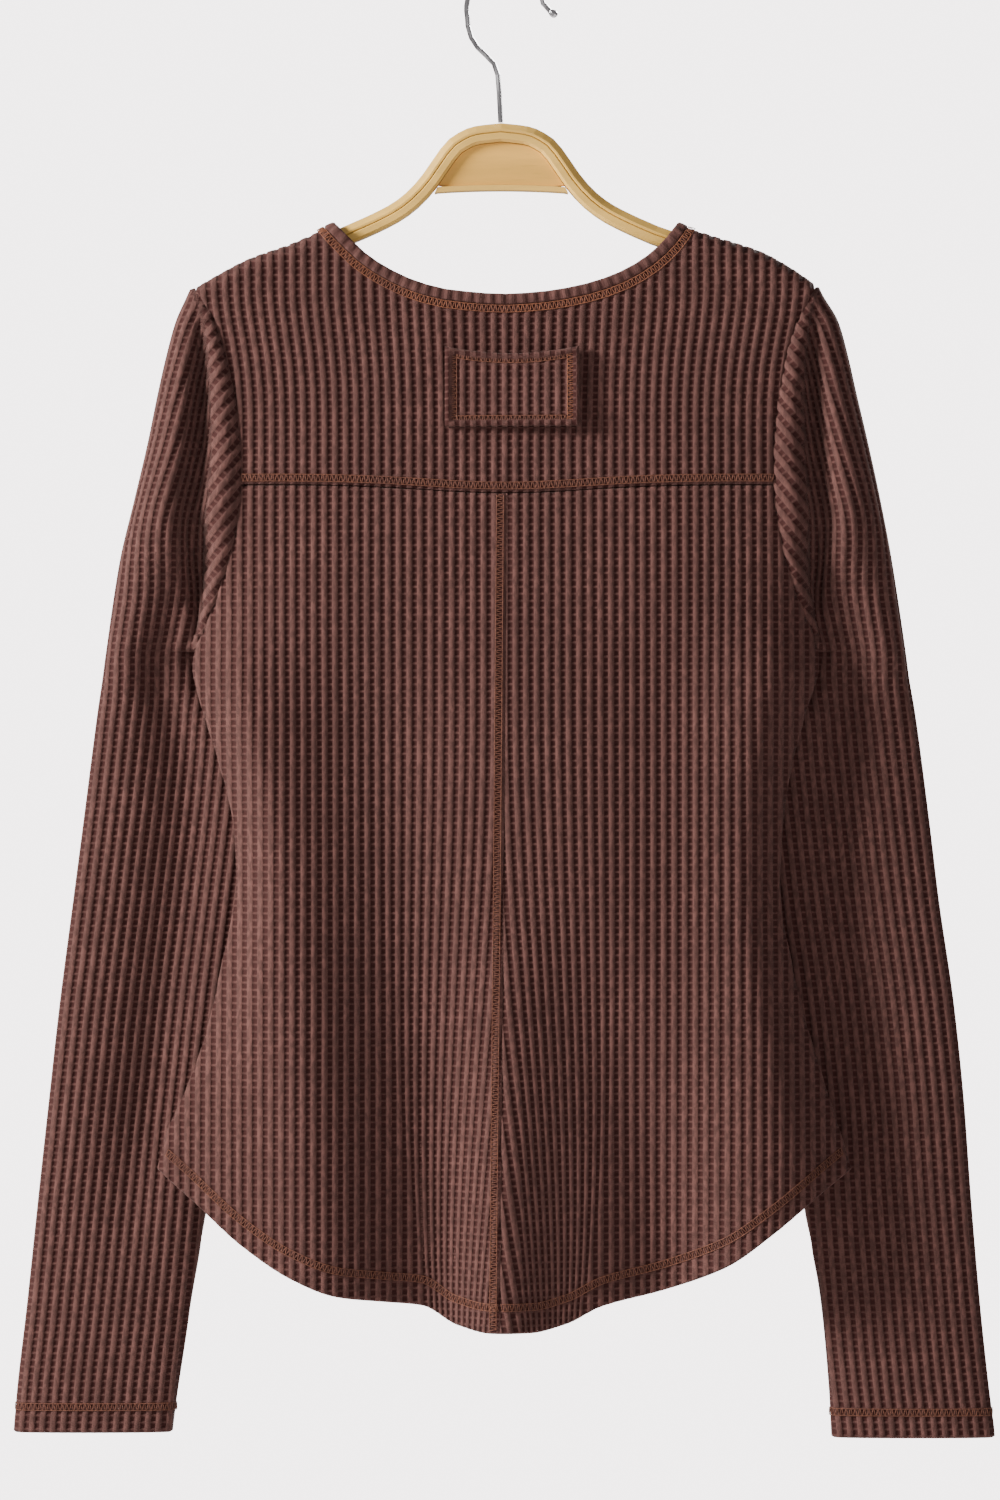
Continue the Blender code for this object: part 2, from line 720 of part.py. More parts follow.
def make_body():
    panel("back_yoke", yoke_outline(), on_back, shoulder_rows(YOKE_LEVELS), ribbed, plain)
    lower = level_rows(BACK_LEVELS)
    panel("back_left", back_half_outline(-1), on_back, lower, ribbed, turned(hem_back, back_y))
    panel("back_right", back_half_outline(1), on_back, lower, ribbed, turned(hem_back, back_y))
    panel(
        "front",
        front_outline(),
        on_front,
        shoulder_rows(FRONT_LEVELS),
        lambda x, drop: WALL / 2 + RIB_RISE / 2,
        turned(hem_front, front_y),
        stride=PLAIN_STRIDE,
    )


def make_patch():
    """The patch lies over the yoke, free at its right edge and foot."""
    left, right = PATCH
    lie = WALL / 2 + RIB_RISE + SEAM_GAP + WALL / 2

    def lift(x, drop):
        across = ease((x - left) / (right - left))
        down = ease((drop - PATCH_TOP) / (PATCH_FOOT - PATCH_TOP))
        return lie + PATCH_LIFT * across * mix(PATCH_TOP_SHARE, 1.0, down)

    def sagged_top(x):
        middle = (left + right) / 2
        return PATCH_TOP + PATCH_SAG * (1 - ((x - middle) / (right - middle)) ** 2)

    outline = [(left, PATCH_TOP), *seam_run(sagged_top, left, right), (right, PATCH_TOP)]
    outline += [(right, mix(PATCH_TOP, PATCH_FOOT, i / 4)) for i in range(1, 5)]
    outline += [(left, PATCH_FOOT)]
    outline += [(left, mix(PATCH_FOOT, PATCH_TOP, i / 4)) for i in range(1, 4)]
    panel(
        "back_patch",
        outline,
        on_back,
        level_rows(PATCH_LEVELS),
        lambda x, drop: lift(x, drop) + ribbed(x, drop),
        lambda x, drop: WALL / 2 - lift(x, drop),
    )


def make_neck_band():
    """The folded band round the neck: a ring over both sides of the body."""
    strips = []
    for side, place in (("back", on_back), ("front", on_front)):
        edges = [neck_line(side, offset) for offset in (0.0, NECK_BAND)]
        strip = [[place(*point) for point in edge] for edge in edges]
        strips.append(list(zip(*strip)))
    back, front = strips
    ring = back + front[-2:0:-1]
    mesh = bmesh.new()
    rows = []
    for i, pair in enumerate(ring):
        at_shoulder = i in (0, len(back) - 1)
        row = []
        for (point, normal), flip in ((pair[0], False), (pair[1], True)):
            if at_shoulder:
                point, normal = Vector((point.x, 0.0, point.z)), Vector((0, 0, 1))
            lean = (SHOULDER_SLOPE if point.x > 0 else -SHOULDER_SLOPE) if at_shoulder else 0.0
            normal = (normal + Vector((lean, 0, 0))).normalized()
            offsets = (-WALL / 2, BAND_WALL - WALL / 2)
            for offset in reversed(offsets) if flip else offsets:
                row.append(mesh.verts.new((point + normal * offset) * MM))
        rows.append(row)
    for row, after in zip(rows, rows[1:] + rows[:1]):
        for i in range(4):
            j = (i + 1) % 4
            mesh.faces.new((row[i], row[j], after[j], after[i]))
    finish_mesh("neck_band", mesh, KNIT_BROWN)


# ------------------------------------------------------------------ the sleeves
def make_sleeve(name, sign, cuff):
    """A flattened tube, slit from the shoulder to the underarm where the armhole is."""
    word = "left" if sign < 0 else "right"
    outer_edge = curve(SLEEVES, "drop", "out_" + word)
    inner_edge = curve(SLEEVES, "drop", "in_" + word)
    armhole = edge_left if sign < 0 else edge_right
    depth = {key: curve(SLEEVE_DEPTHS, "drop", key) for key in ("outer", "inner", "half")}
    half_columns = SLEEVE_COLUMNS // 2
    slit_rows = len(ARMHOLE_ROWS)
    drops = [*ARMHOLE_ROWS, *SLEEVE_LEVELS, cuff - HEM_TURN, cuff]

    def section(drop):
        """Middle of the wall round one section, from the back seam round to the front seam."""
        slit = drop < UNDERARM
        turn_in = ease((drop - UNDERARM) / SLEEVE_BLEND)
        gap = mix(EDGE_CLEAR, TIP_CLEAR, ease((TIP_CLEAR_FOOT - drop) / TIP_BLEND))
        start_x = armhole(drop) + sign * gap if slit else inner_edge(drop)
        inner_y = depth["inner"](drop)
        seam_ys = (inner_y, inner_y)
        if slit:
            seam_ys = (back_y(armhole(drop), drop), front_y(armhole(drop), drop))
        pulled = ease((drop - PULL_TOP) / PULL_BLEND)
        end_x, end_y = outer_edge(drop), depth["outer"](drop)
        half = depth["half"](drop) * ease((drop - ARMHOLE_ROWS[0]) / TIP_LENGTH)
        valley = VALLEY_DEPTH * ease((drop - VALLEY_TOP) / VALLEY_START)
        valley *= ease((VALLEY_FOOT - drop) / VALLEY_END)
        ring = []
        for k in range(SLEEVE_COLUMNS + 1):
            on_the_back = k <= half_columns
            t = k / half_columns if on_the_back else 2 - k / half_columns
            side = -1 if on_the_back else 1
            seam_y = seam_ys[0] if on_the_back else seam_ys[1]
            reach = mix(math.sin(math.pi * t / 2), (1 - math.cos(math.pi * t)) / 2, turn_in)
            share = mix(t**SHARE_POWER, t, turn_in)
            beside_seam = math.exp(-((t / PULL_WIDTH) ** 2))
            line = mix(seam_y, end_y, share)
            line += pulled * (seam_y - inner_y) * (beside_seam - (1 - share))
            bulge = half * math.sin(math.pi * t) ** mix(BULGE_POWER_TOP, BULGE_POWER_FOOT, turn_in)
            crease = valley * math.exp(-(((reach - VALLEY_AT) / VALLEY_WIDTH) ** 2))
            if on_the_back:
                strip = STRIP_RISE * ease(2 * valley / VALLEY_DEPTH)
                crease -= strip * math.exp(-(((reach - STRIP_AT) / STRIP_WIDTH) ** 2))
            else:
                crease *= VALLEY_FRONT
            ring.append(Vector((mix(start_x, end_x, reach), line + side * bulge + crease, -drop)))
        return ring

    rings = [section(drop) for drop in drops]
    mesh = bmesh.new()
    last = SLEEVE_COLUMNS

    def normal_at(row, k):
        slit = row < slit_rows
        before = rings[row][k - 1] if k > 0 else rings[row][0 if slit else last - 1]
        after = rings[row][k + 1] if k < last else rings[row][last if slit else 1]
        above, below = rings[max(row - 1, 0)][k], rings[min(row + 1, len(rings) - 1)][k]
        normal = (below - above).cross(after - before) * sign
        if slit and k in (0, last) and drops[row] > TIP_CLEAR_FOOT:
            body = on_back if k == 0 else on_front
            return body(armhole(drops[row]), drops[row])[1]
        return normal.normalized()

    def grid(columns, offset_at):
        rows = []
        for r, ring in enumerate(rings):
            row = []
            for k in columns:
                if r >= slit_rows and k == last:
                    row.append(row[0])
                    continue
                point = ring[k] + normal_at(r, k) * offset_at(r, k)
                row.append(mesh.verts.new(point * MM))
            rows.append(row)
        return rows

    def rib_offset(r, k):
        rise = RIB_RISE * ease((drops[r] - drops[0]) / TIP_LENGTH)
        return WALL / 2 + rise * (k % 2)

    def plain_offset(r, k):
        hem_row = r >= len(rings) - 2
        return -WALL / 2 - HEM_EXTRA * hem_row

    stride = 2  # the plain inside has every second column
    outer = grid(range(last + 1), rib_offset)
    inner = grid(range(0, last + 1, stride), plain_offset)
    for rows in (outer, inner):
        for upper, lower in zip(rows, rows[1:]):
            for k in range(len(upper) - 1):
                mesh.faces.new((upper[k], upper[k + 1], lower[k + 1], lower[k]))
    for end in (0, -1):
        for k in range(len(inner[end]) - 1):
            fine = outer[end][k * stride : (k + 1) * stride + 1]
            mesh.faces.new((inner[end][k], fine[0], fine[1]))
            mesh.faces.new((inner[end][k], fine[1], inner[end][k + 1]))
            mesh.faces.new((inner[end][k + 1], fine[1], fine[2]))
    for side in (0, -1):
        for r in range(slit_rows):
            upper, lower = (outer[r][side], inner[r][side]), (outer[r + 1][side], inner[r + 1][side])
            mesh.faces.new((upper[0], lower[0], lower[1], upper[1]))
    finish_mesh(name, mesh, KNIT_BROWN)


# ------------------------------------------------------------------ the hanger
def bow_line():
    """Outer edge of the bow from its left tip to its right tip, as x and drop."""
    line = curve(BOW, "reach", "drop")
    bend = BOW[-1]
    arch = [bend.reach * i / BOW_STEPS for i in range(BOW_STEPS + 1)]
    arm = [(reach, line(reach)) for reach in arch]
    left, right = [], []
    for i in range(1, ARM_STEPS + 1):
        reach = mix(bend.reach, ARM_REACH, i / ARM_STEPS)
        settle = ease((reach - bend.reach) / ARM_SETTLE)
        for side, points in ((-1, left), (1, right)):
            cloth = shoulder_drop(side * reach + HANGER_X) + (WALL / 2 + ARM_CLEAR) / SHOULDER_COSINE
            straight = bend.drop + (reach - bend.reach) * SHOULDER_SLOPE
            points.append((reach, mix(max(straight, cloth), cloth, settle)))
    left_half = [(HANGER_X - reach, drop) for reach, drop in arm + left]
    right_half = [(HANGER_X + reach, drop) for reach, drop in arm + right]
    return left_half[:0:-1] + right_half


def inset_line(line, distance):
    """A line over x moved down its own normal."""
    moved = []
    for i, (x, drop) in enumerate(line):
        (ax, ad), (bx, bd) = line[max(i - 1, 0)], line[min(i + 1, len(line) - 1)]
        normal = Vector((ad - bd, bx - ax)).normalized()
        moved.append((x + normal.x * distance, drop + normal.y * distance))
    return moved


def make_band(name, outer, inner, top_corner, foot_corner, colour):
    """A bent lamination between two lines, with its long edges rounded."""
    half = BAND_DEEP / 2
    mesh = bmesh.new()
    rows = []
    for (ox, od), (ix, i_drop) in zip(outer, inner):
        top, foot = Vector((ox, -od)), Vector((ix, -i_drop))
        way = (foot - top).normalized()
        row = []
        for y, down, start in (
            (-half + top_corner, 0.0, top),
            (-half, top_corner, top),
            (-half, -foot_corner, foot),
            (-half + foot_corner, 0.0, foot),
            (half - foot_corner, 0.0, foot),
            (half, -foot_corner, foot),
            (half, top_corner, top),
            (half - top_corner, 0.0, top),
        ):
            at = start + way * down
            row.append(mesh.verts.new(Vector((at.x, y, at.y)) * MM))
        rows.append(row)
    for row, after in zip(rows, rows[1:]):
        for i in range(len(row)):
            j = (i + 1) % len(row)
            mesh.faces.new((row[i], row[j], after[j], after[i]))
    mesh.faces.new(rows[0])
    mesh.faces.new(rows[-1])
    return finish_mesh(name, mesh, colour, roughness=0.45)


def slab(name, outline, deep, colour):
    """A flat outline made solid, deep along Y about the hanger's plane."""
    mesh = bmesh.new()
    near = [mesh.verts.new(Vector((x, -deep / 2, -drop)) * MM) for x, drop in outline]
    far = [mesh.verts.new(Vector((x, deep / 2, -drop)) * MM) for x, drop in outline]
    mesh.faces.new(near)
    mesh.faces.new(far[::-1])
    for i in range(len(outline)):
        j = (i + 1) % len(outline)
        mesh.faces.new((near[i], near[j], far[j], far[i]))
    return finish_mesh(name, mesh, colour, roughness=0.5)


def rail_top(x):
    return RAIL_DROP - RAIL_ARCH * (1 - ((x - HANGER_X) / RAIL_REACH) ** 2)


def make_hanger():
    line = bow_line()
    middle = inset_line(line, BAND_TALL)
    seam = inset_line(line, BAND_TALL + SEAM_GAP)
    foot = inset_line(line, 2 * BAND_TALL + SEAM_GAP)
    make_band("hanger_outer_band", line, middle, BAND_CORNER, GLUED_CORNER, PALE_WOOD)
    make_band("hanger_inner_band", seam, foot, GLUED_CORNER, FOOT_CORNER, PALE_WOOD)

    xs = [HANGER_X + mix(-RAIL_REACH, RAIL_REACH, i / RAIL_STEPS) for i in range(RAIL_STEPS + 1)]
    inside = inset_line(line, 2 * BAND_TALL + 2 * SEAM_GAP)
    arch = [p for p in inside if p[1] < rail_top(p[0]) - SEAM_GAP]
    rail = [(x, rail_top(x)) for x in xs]
    rail += [(x, rail_top(x) + RAIL_TALL) for x in reversed(xs)]
    fitted = [(fit_inside(x, drop, inside), drop) for x, drop in rail]
    slab("hanger_rail", fitted, RAIL_DEEP, PALE_WOOD)
    floor = [(x, rail_top(x) - SEAM_GAP) for x in reversed(xs) if arch[0][0] + 1 < x < arch[-1][0] - 1]
    slab("hanger_panel", arch + floor, PANEL_DEEP, PANEL_WOOD)


def fit_inside(x, drop, arch):
    """x kept between the two flanks of the arch at this drop."""
    flank = min(abs(ax - HANGER_X) + (drop - ad) * 0.5 for ax, ad in arch if abs(ad - drop) < 6)
    return HANGER_X + max(-flank, min(flank, x - HANGER_X))


def make_hook():
    """Wire hook: ball tip, crown, and shank down to the bow."""
    centre_x, centre_drop = HOOK_CENTRE
    points = list(HOOK_TIP)
    for i in range(CROWN_STEPS + 1):
        turn = math.radians(mix(*CROWN_TURN, i / CROWN_STEPS))
        x = centre_x + HOOK_RADIUS * math.cos(turn)
        points.append(HookPoint(x, centre_drop - HOOK_RADIUS * math.sin(turn), 1.0))
    points += HOOK_SHANK
    data = bpy.data.curves.new("hanger_hook", "CURVE")
    data.dimensions = "3D"
    data.bevel_depth = WIRE / 2 * MM
    data.bevel_resolution = 2
    data.use_fill_caps = True
    spline = data.splines.new("POLY")
    spline.points.add(len(points) - 1)
    for control, point in zip(spline.points, points):
        control.co = (point.x * MM, 0.0, -point.drop * MM, 1.0)
        control.radius = point.girth
    spline.use_smooth = True
    thing = bpy.data.objects.new("hanger_hook", data)
    bpy.context.scene.collection.objects.link(thing)
    data.materials.append(finish("hanger_hook", CHROME, 0.15, 1.0))


def main():
    for thing in list(bpy.data.objects):
        bpy.data.objects.remove(thing)
    make_body()
    make_patch()
    make_neck_band()
    make_sleeve("sleeve_left", -1, CUFF_DROP[0])
    make_sleeve("sleeve_right", 1, CUFF_DROP[1])
    make_hanger()
    make_hook()


main()
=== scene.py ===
"""The look of a long-sleeved waffle-knit top on its hanger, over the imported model.

Lengths are millimetres until a mesh is made, and "drop" is the distance below the
hang point. +X is right in the view of the back, -Y the wearer's back, +Z up.
"""

import math
from collections import namedtuple

import bmesh
import bpy
import numpy as np
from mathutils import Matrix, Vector
from mathutils.geometry import delaunay_2d_cdt


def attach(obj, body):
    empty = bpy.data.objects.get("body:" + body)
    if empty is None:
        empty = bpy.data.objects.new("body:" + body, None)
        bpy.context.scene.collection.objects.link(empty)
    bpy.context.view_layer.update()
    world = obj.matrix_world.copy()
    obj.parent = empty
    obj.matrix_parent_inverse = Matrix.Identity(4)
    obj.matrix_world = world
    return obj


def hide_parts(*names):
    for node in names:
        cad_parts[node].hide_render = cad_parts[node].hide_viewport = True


MM = 0.001


def table(columns, *rows):
    """Rows of numbers under named columns."""
    Row = namedtuple("Row", columns)
    return [Row(*row) for row in rows]


# ---- the knit
WALL = 1.5
RIB_PITCH = 5.8  # from one rib to the next
BAR_PITCH = 3.8  # from one cross bar to the next
RIB_RISE = 0.45  # tops of the ribs, over the wall
RIB_TOP = WALL / 2 + RIB_RISE * 0.6  # threads lie here, over the wall's middle
CELL_DEPTH = 0.40  # floors of the cells, under the wall's outside
BAR_SHARE = 0.6  # height of a cross bar as a share of a rib's
# Foot and top of a flank: 1 is the middle of a rib or bar, and 0 is halfway to the next.
RIB_FLANK = (0.36, 0.58)
BAR_FLANK = (0.55, 0.90)
SEAM_GAP = 0.3  # between walls that are sewn to each other
YOKE_GAP = 0.5  # the dark line under the yoke's stitches
ROLL_DEPTH = 0.9  # how far the outside sinks at a seam
SEAM_LAP = 0.25  # two rolled edges meet a little inside each other
SEAM_ROLL = 1.8  # width over which cloth rolls down into a seam
PRESSED = 2.4  # half width of the knit that a row of stitches presses flat
PRESS = 0.75  # how flat it is pressed, from 0 to 1
PRESSED_HEIGHT = 0.55  # its height then, as a share of a rib's
HEM_TURN = 13  # height of the cloth that is turned up inside a hem
HEM_EXTRA = 0.9  # and how much thicker the wall is there
HEM_SLOPE = 3  # above the turned cloth the wall thins out over this
HEM_ROUND = 0.9  # the folded edge of a hem bulges by this
HEM_NO_ROLL = 9  # keeps the rolled edge of a seam away from a hem
AT_FOLD = 0.5  # points closer than this to a hem's fold are on it
ROOM_SHARE = 0.8  # of the room inside the body, which a turned hem may fill
INNER_SPACING = 17.4  # of the points of the plain inside
INNER_CLEAR = 2  # between those points and the outline
CLAMP_ROUNDS = 16  # of pushing the mesh in to the panel's edges
KEYS_PER_MM = 500  # points that are closer than this are the same
WIDEST = 205  # the fine mesh reaches this far to each side of the middle
# And over these drops.
YOKE_SPAN = (130, 292)
LOWER_SPAN = (276, 750)
FRONT_SPAN = (130, 725)
PATCH_SPAN = (200, 256)

# Where the fine mesh has its columns and rows, as shares of a pitch.
RIB_COLUMNS = (-0.2, 0.2, 0.33, 0.67)
BAR_ROWS = (0, 0.3, 0.7)
BAR_ROWS_PLAIN = (0, 0.5)

# ---- the body
SHOULDER_ROLL = 7  # the cloth goes round over the shoulder within this
SHOULDER_SLOPE = 0.45  # drop over width, beside the neck
SHOULDER_COSINE = math.cos(math.atan(SHOULDER_SLOPE))
NECK_STEPS = 26
NECK_END_STEPS = 3  # at the shoulders the neck edge turns along them over these
UNDERARM = 372
LENS_POWER = 6.5  # how square the body is across
LENS_SPREAD = 0.30  # above the underarm the curve of the body runs on past its edge
LENS_BLEND = 90
FOLD_FADE = 6  # the folds fade out over one part in this of the half width
FOLD_START = 5  # and start over one part in this of their length
YOKE_DROP = 282
YOKE_SAG = 4.5  # the yoke seam hangs lower at its middle
YOKE_SAG_WIDTH = 62
CENTRE_TOP = 0.8  # x of the centre seam at the yoke
CENTRE_FOOT = -2.8  # and at the hem
HEM_CENTRE = 745

# The folded band round the neck.
NECK_BAND = 6
BAND_LAP = 0.7  # the body reaches this far under it
BAND_WALL = 2.4
BAND_AROUND = 12  # points round its section
BAND_SQUARE = 0.55  # how full its edges are, and its crown
BAND_CROWN = 0.7
BAND_RELIEF = 0.55  # height of its ribs
BAND_SINK = 0.25  # and how far they start under its crown
BAND_STEPS = 6  # sections in the pitch of a rib

# How the ribs lean: outwards at the shoulders, and away from the centre seam at the hem.
SHOULDER_LEAN = 8
SHOULDER_LEAN_FOOT = 262
SHOULDER_LEAN_BLEND = 90
SHOULDER_LEAN_REACH = 140
HEM_LEAN = 32
HEM_LEAN_TOP = 400
HEM_LEAN_POWER = 1.9
LEAN_MOST = 1.1  # a lean goes on to this share past its end
FLANK_NEAR = 8  # the ribs crowd together on the flanks of the middle fold, from here
FLANK_WIDTH = 64

SHOULDERS = table(
    "reach left right",
    (94, 138.4, 138.2),
    (116, 148.6, 145.4),
    (140, 157.2, 153.2),
    (155, 164.8, 161.2),
    (171.6, 174.4, 172.4),
)

# Armhole seam down to the underarm, and the side seam from there to the hem.
BODY_EDGES = table(
    "drop left right",
    (172.4, -171.9, 171.6),
    (183, -164.6, 165.4),
    (198, -157.1, 158),
    (223, -150.2, 151.8),
    (248, -146.3, 148.5),
    (270, -144.2, 147),
    (288, -144.7, 147.5),
    (305, -147, 149.6),
    (322, -151, 153.2),
    (340, -157, 159.2),
    (356, -163, 166),
    (372, -170.6, 172.4),
    (382, -172, 172.6),
    (402, -167.4, 167),
    (424, -160.6, 160.8),
    (446, -154.2, 155.8),
    (470, -149.2, 153),
    (499, -148, 151.2),
    (519, -150.2, 152.8),
    (540, -154.8, 156.8),
    (566, -160.2, 162.4),
    (590, -166.6, 169.4),
    (615, -176, 177.2),
    (638, -186.2, 184.6),
    (657, -191, 190.4),
)

# The armhole is cut straight between these drops, on the body and on the sleeve.
ARMHOLE_ROWS = (175.6, 182, 193, 210, 235, 262, 290, 318, 342, 360, 371)

NECK = table(
    "x back front",
    (-93.4, 138.4, 138.4),
    (-85.5, 146.4, 150),
    (-76, 155.4, 170),
    (-63.8, 163.4, 192),
    (-49.5, 170, 209),
    (-32, 174.8, 221),
    (0, 177.4, 228),
    (22, 175.9, 225.5),
    (40, 172.8, 217),
    (57, 167.8, 203),
    (73.7, 159.4, 178),
    (86.4, 148.8, 154),
    (94.6, 138.4, 138.4),
)

HEM = table(
    "x back front",
    (-191, 657, 657),
    (-170, 675, 670),
    (-143.6, 698, 686),
    (-117, 715, 699),
    (-91, 725, 707),
    (-65.5, 728.4, 712),
    (-45, 731, 715),
    (-26.4, 741, 717),
    (-8, 744.4, 718),
    (14, 744.4, 718),
    (33, 740.3, 717),
    (52.8, 731, 715),
    (86.4, 723, 708),
    (119.4, 710, 697),
    (146.3, 691, 683),
    (172.7, 670, 668),
    (190.4, 657, 657),
)

# How far the two sides of the body stand out from the plane of the side seams.
BELLIES = table(
    "drop back front",
    (130, 10.8, 10.4),
    (190, 11.2, 10.8),
    (250, 14.5, 11.5),
    (330, 19, 13),
    (430, 19, 14),
    (520, 17, 14),
    (620, 18, 14),
    (750, 20, 14),
)

# Soft ridges (rise > 0) and troughs (rise < 0), each along a line down the body.
FOLD_COLUMNS = "top_x top_drop foot_x foot_drop width_top width_foot rise_top rise_foot"
BACK_FOLDS = table(
    FOLD_COLUMNS,
    (0, 460, -4, 745, 22, 22, 0, 14),  # centre crest
    (-74, 300, -38, 735, 44, 30, -6, -11),  # left of the crest
    (36, 460, 86, 730, 26, 32, 0, -11),  # right of the crest
    (-152, 300, -106, 715, 28, 30, 8, 9),  # from the left underarm
    (148, 290, 142, 690, 34, 34, 6, 8),  # from the right underarm
    (90, 300, 96, 650, 38, 32, -5.5, -3),  # beside the right ridge
    (-168, 600, -178, 665, 14, 16, 0, -4),  # beside the left corner
)
FRONT_FOLDS = table(
    FOLD_COLUMNS,
    (-40, 330, -30, 715, 40, 32, 0, -5),
    (52, 380, 66, 715, 36, 30, 0, -4.5),
    (10, 480, 14, 720, 30, 26, 0, 4),
)

# ---- the patch
PATCH = (-33, 40.6)  # x of its left and right edges
PATCH_TOP = 206.5
PATCH_FOOT = 250.6
PATCH_SAG = 4
PATCH_LIFT = 3.2  # its free corner stands off by this
PATCH_TOP_SHARE = 0.55  # and the corner above it by this share
RIM_AT = 1.5  # the rolled rim's crest, in from the patch's edge
RIM_WIDTH = 1.6
RIM_RISE = 2.2
PATCH_WAVE = 0.45  # the lower edge goes in and out with the ribs

# ---- the sleeves
SIDES = table("name sign cuff", ("left", -1, 803), ("right", 1, 806))
SLEEVE_TOP = 173.4
TIP_LENGTH = 22  # the sleeve fills out over this below its tip
ARMHOLE_LAP = 0.5  # the sleeve's edge lies this far under the body's
SLEEVE_BLEND = 46  # below the underarm the slit tube closes over this
SHARE_POWER = 1.6  # above it, how early the section leaves the seam's level
BULGE_POWER_TOP = 1.1  # the lower, the fuller the section
BULGE_POWER_FOOT = 0.62
SECTION_STEPS = 120
SLEEVE_REACH = 150  # the sleeve's grid reaches this far from its outer edge
ROW_CLEAR = 0.6  # between its first and last rows and the rows of the knit
SLEEVE_ROLL = 0.75  # how far its outside sinks at the armhole
TIP_RELIEF = 0.25  # share of the knit's relief that is left at the tip
INNER_EVERY = 8  # the plain inside has one row for so many of the outside
WELD = 0.004  # points closer than this are joined

# Outer and inner folded edge of each sleeve. Above the underarm the inner one is the armhole.
SLEEVES = table(
    "drop out_left in_left out_right in_right",
    (173.4, -172, -171.2, 172, 171.2),
    (176, -173.2, -169.6, 173.2, 169.6),
    (192, -180, -160, 182.2, 160),
    (210, -185, -154, 187.4, 155),
    (231, -189.8, -148, 192.2, 150),
    (259, -195.6, -145, 198.8, 147),
    (290, -203, -145, 205.6, 147),
    (324, -211.2, -152, 212.2, 154),
    (375, -219.2, -171, 220.2, 172.4),
    (388, -221, -170, 222, 171.6),
    (404, -223.4, -158, 224.8, 160),
    (423, -226, -146, 227.6, 148),
    (469, -232, -132, 233.6, 135),
    (510, -237.4, -135, 238.6, 138),
    (568, -245, -143.5, 247, 147),
    (620, -250.8, -153, 252.4, 156),
    (675, -256.8, -164.5, 256.4, 165.5),
    (734, -263, -174.5, 261.4, 175.5),
    (781, -268.4, -181.5, 266.4, 179.8),
    (803, -270.2, -184.2, 269.2, 181.2),
    (815, -271, -185.4, 270, 181.8),
)
SLEEVE_DEPTHS = table(
    "drop outer inner half",
    (170, 0, 0, 1),
    (230, 1, 0, 6),
    (300, 4, 0.5, 9),
    (325, 5.6, 2, 9.5),
    (346, 7.2, 3.8, 9.7),
    (371, 9, 6, 9.8),
    (388, 10.5, 9.4, 9.4),
    (404, 11.5, 12.6, 9),
    (440, 13, 15.5, 8.2),
    (560, 14.5, 17, 7.8),
    (700, 14, 16, 7.4),
    (815, 13, 14, 7),
)
# The deep fold beside the armhole seam: "at" and "width" are shares of the way from the
# seam to the outer edge, and the front layer follows its share of the depth.
VALLEYS = table(
    "drop at width depth front",
    (182, 0.42, 0.14, 0, 0.35),
    (238, 0.45, 0.15, 13, 0.35),
    (290, 0.44, 0.15, 14, 0.35),
    (318, 0.33, 0.13, 13, 0.50),
    (340, 0.21, 0.10, 10, 0.80),
    (362, 0.10, 0.07, 5, 0.90),
    (385, 0.08, 0.07, 0, 0.90),
)
SEAM_HOLD = 0.06  # the folds fade out over this share, at the seam and at the outer edge
# A long soft trough down the back of each sleeve.
TROUGH_AT = 0.44
TROUGH_WIDTH = 0.21
TROUGH_DEPTH = 7
TROUGH_TOP = 300
TROUGH_FOOT = 730
TROUGH_FADE = 110
# Just above the underarm only the edge beside the seam is pulled to the body's wall.
PULL_TOP = 290
PULL_BLEND = 60
PULL_WIDTH = 0.12
# The raised strip between the seam and the valley, as shares of the valley's place.
STRIP_AT = 0.38
STRIP_WIDTH = 0.27
STRIP_EDGE = 0.70
STRIP_RISE = 2.2
STRIP_START = 6  # the strip has its full rise where the valley is this deep
STRIP_LEAN = math.radians(38)  # of the ribs on the strip
STRIP_CLEAR = 8  # the leaning ribs end this far above the underarm

# ---- stitches
THREAD = 0.21  # radius of a thread
THREAD_SIDES = 4
NEEDLE_THREAD = 1.1 * THREAD  # radius of the threads at a row's edges
ASIDE = (0.31, 0.87, 0.39)  # a direction that no seam follows
STITCH_PITCH = 1.25  # along a seam, for one stroke of the covering thread
STITCH_WIDTH = 4
STITCH_LIFT = 0.2  # over the knit
STITCH_SLANT = 0.35  # of a stroke, in pitches
# One stroke: place across the seam, from -1 to 1, and height.
STROKE = table("share lift", (-1, -0.12), (-0.5, 0.16), (0.5, 0.16), (1, -0.12))
NEEDLE_AT = 0.47  # of the width, from the middle
NEEDLE_LIFT = 0.1  # its stitches rise and fall by this
# Middles of the rows of stitches.
NECK_STITCH = 8.4  # below the neck edge
YOKE_STITCH = 3.6  # above the yoke seam
CENTRE_STITCH = 3.4  # left of the centre seam
HEM_STITCH = 13.5  # above a hem's fold
PATCH_STITCH = 4.6  # in from the patch's sides, its top and its foot
PATCH_STITCH_TOP = 3.4
PATCH_STITCH_FOOT = 3.8
NECK_SPACING = 3  # of the points along the neck
# How far the other rows stop short of the ends of their seams.
YOKE_END = 1
CENTRE_START = 6
CENTRE_END = 2
HEM_END = 6
HEM_GAP = 1
PATCH_START = 2
PATCH_END = 1.5
PATCH_INSET = 2.5

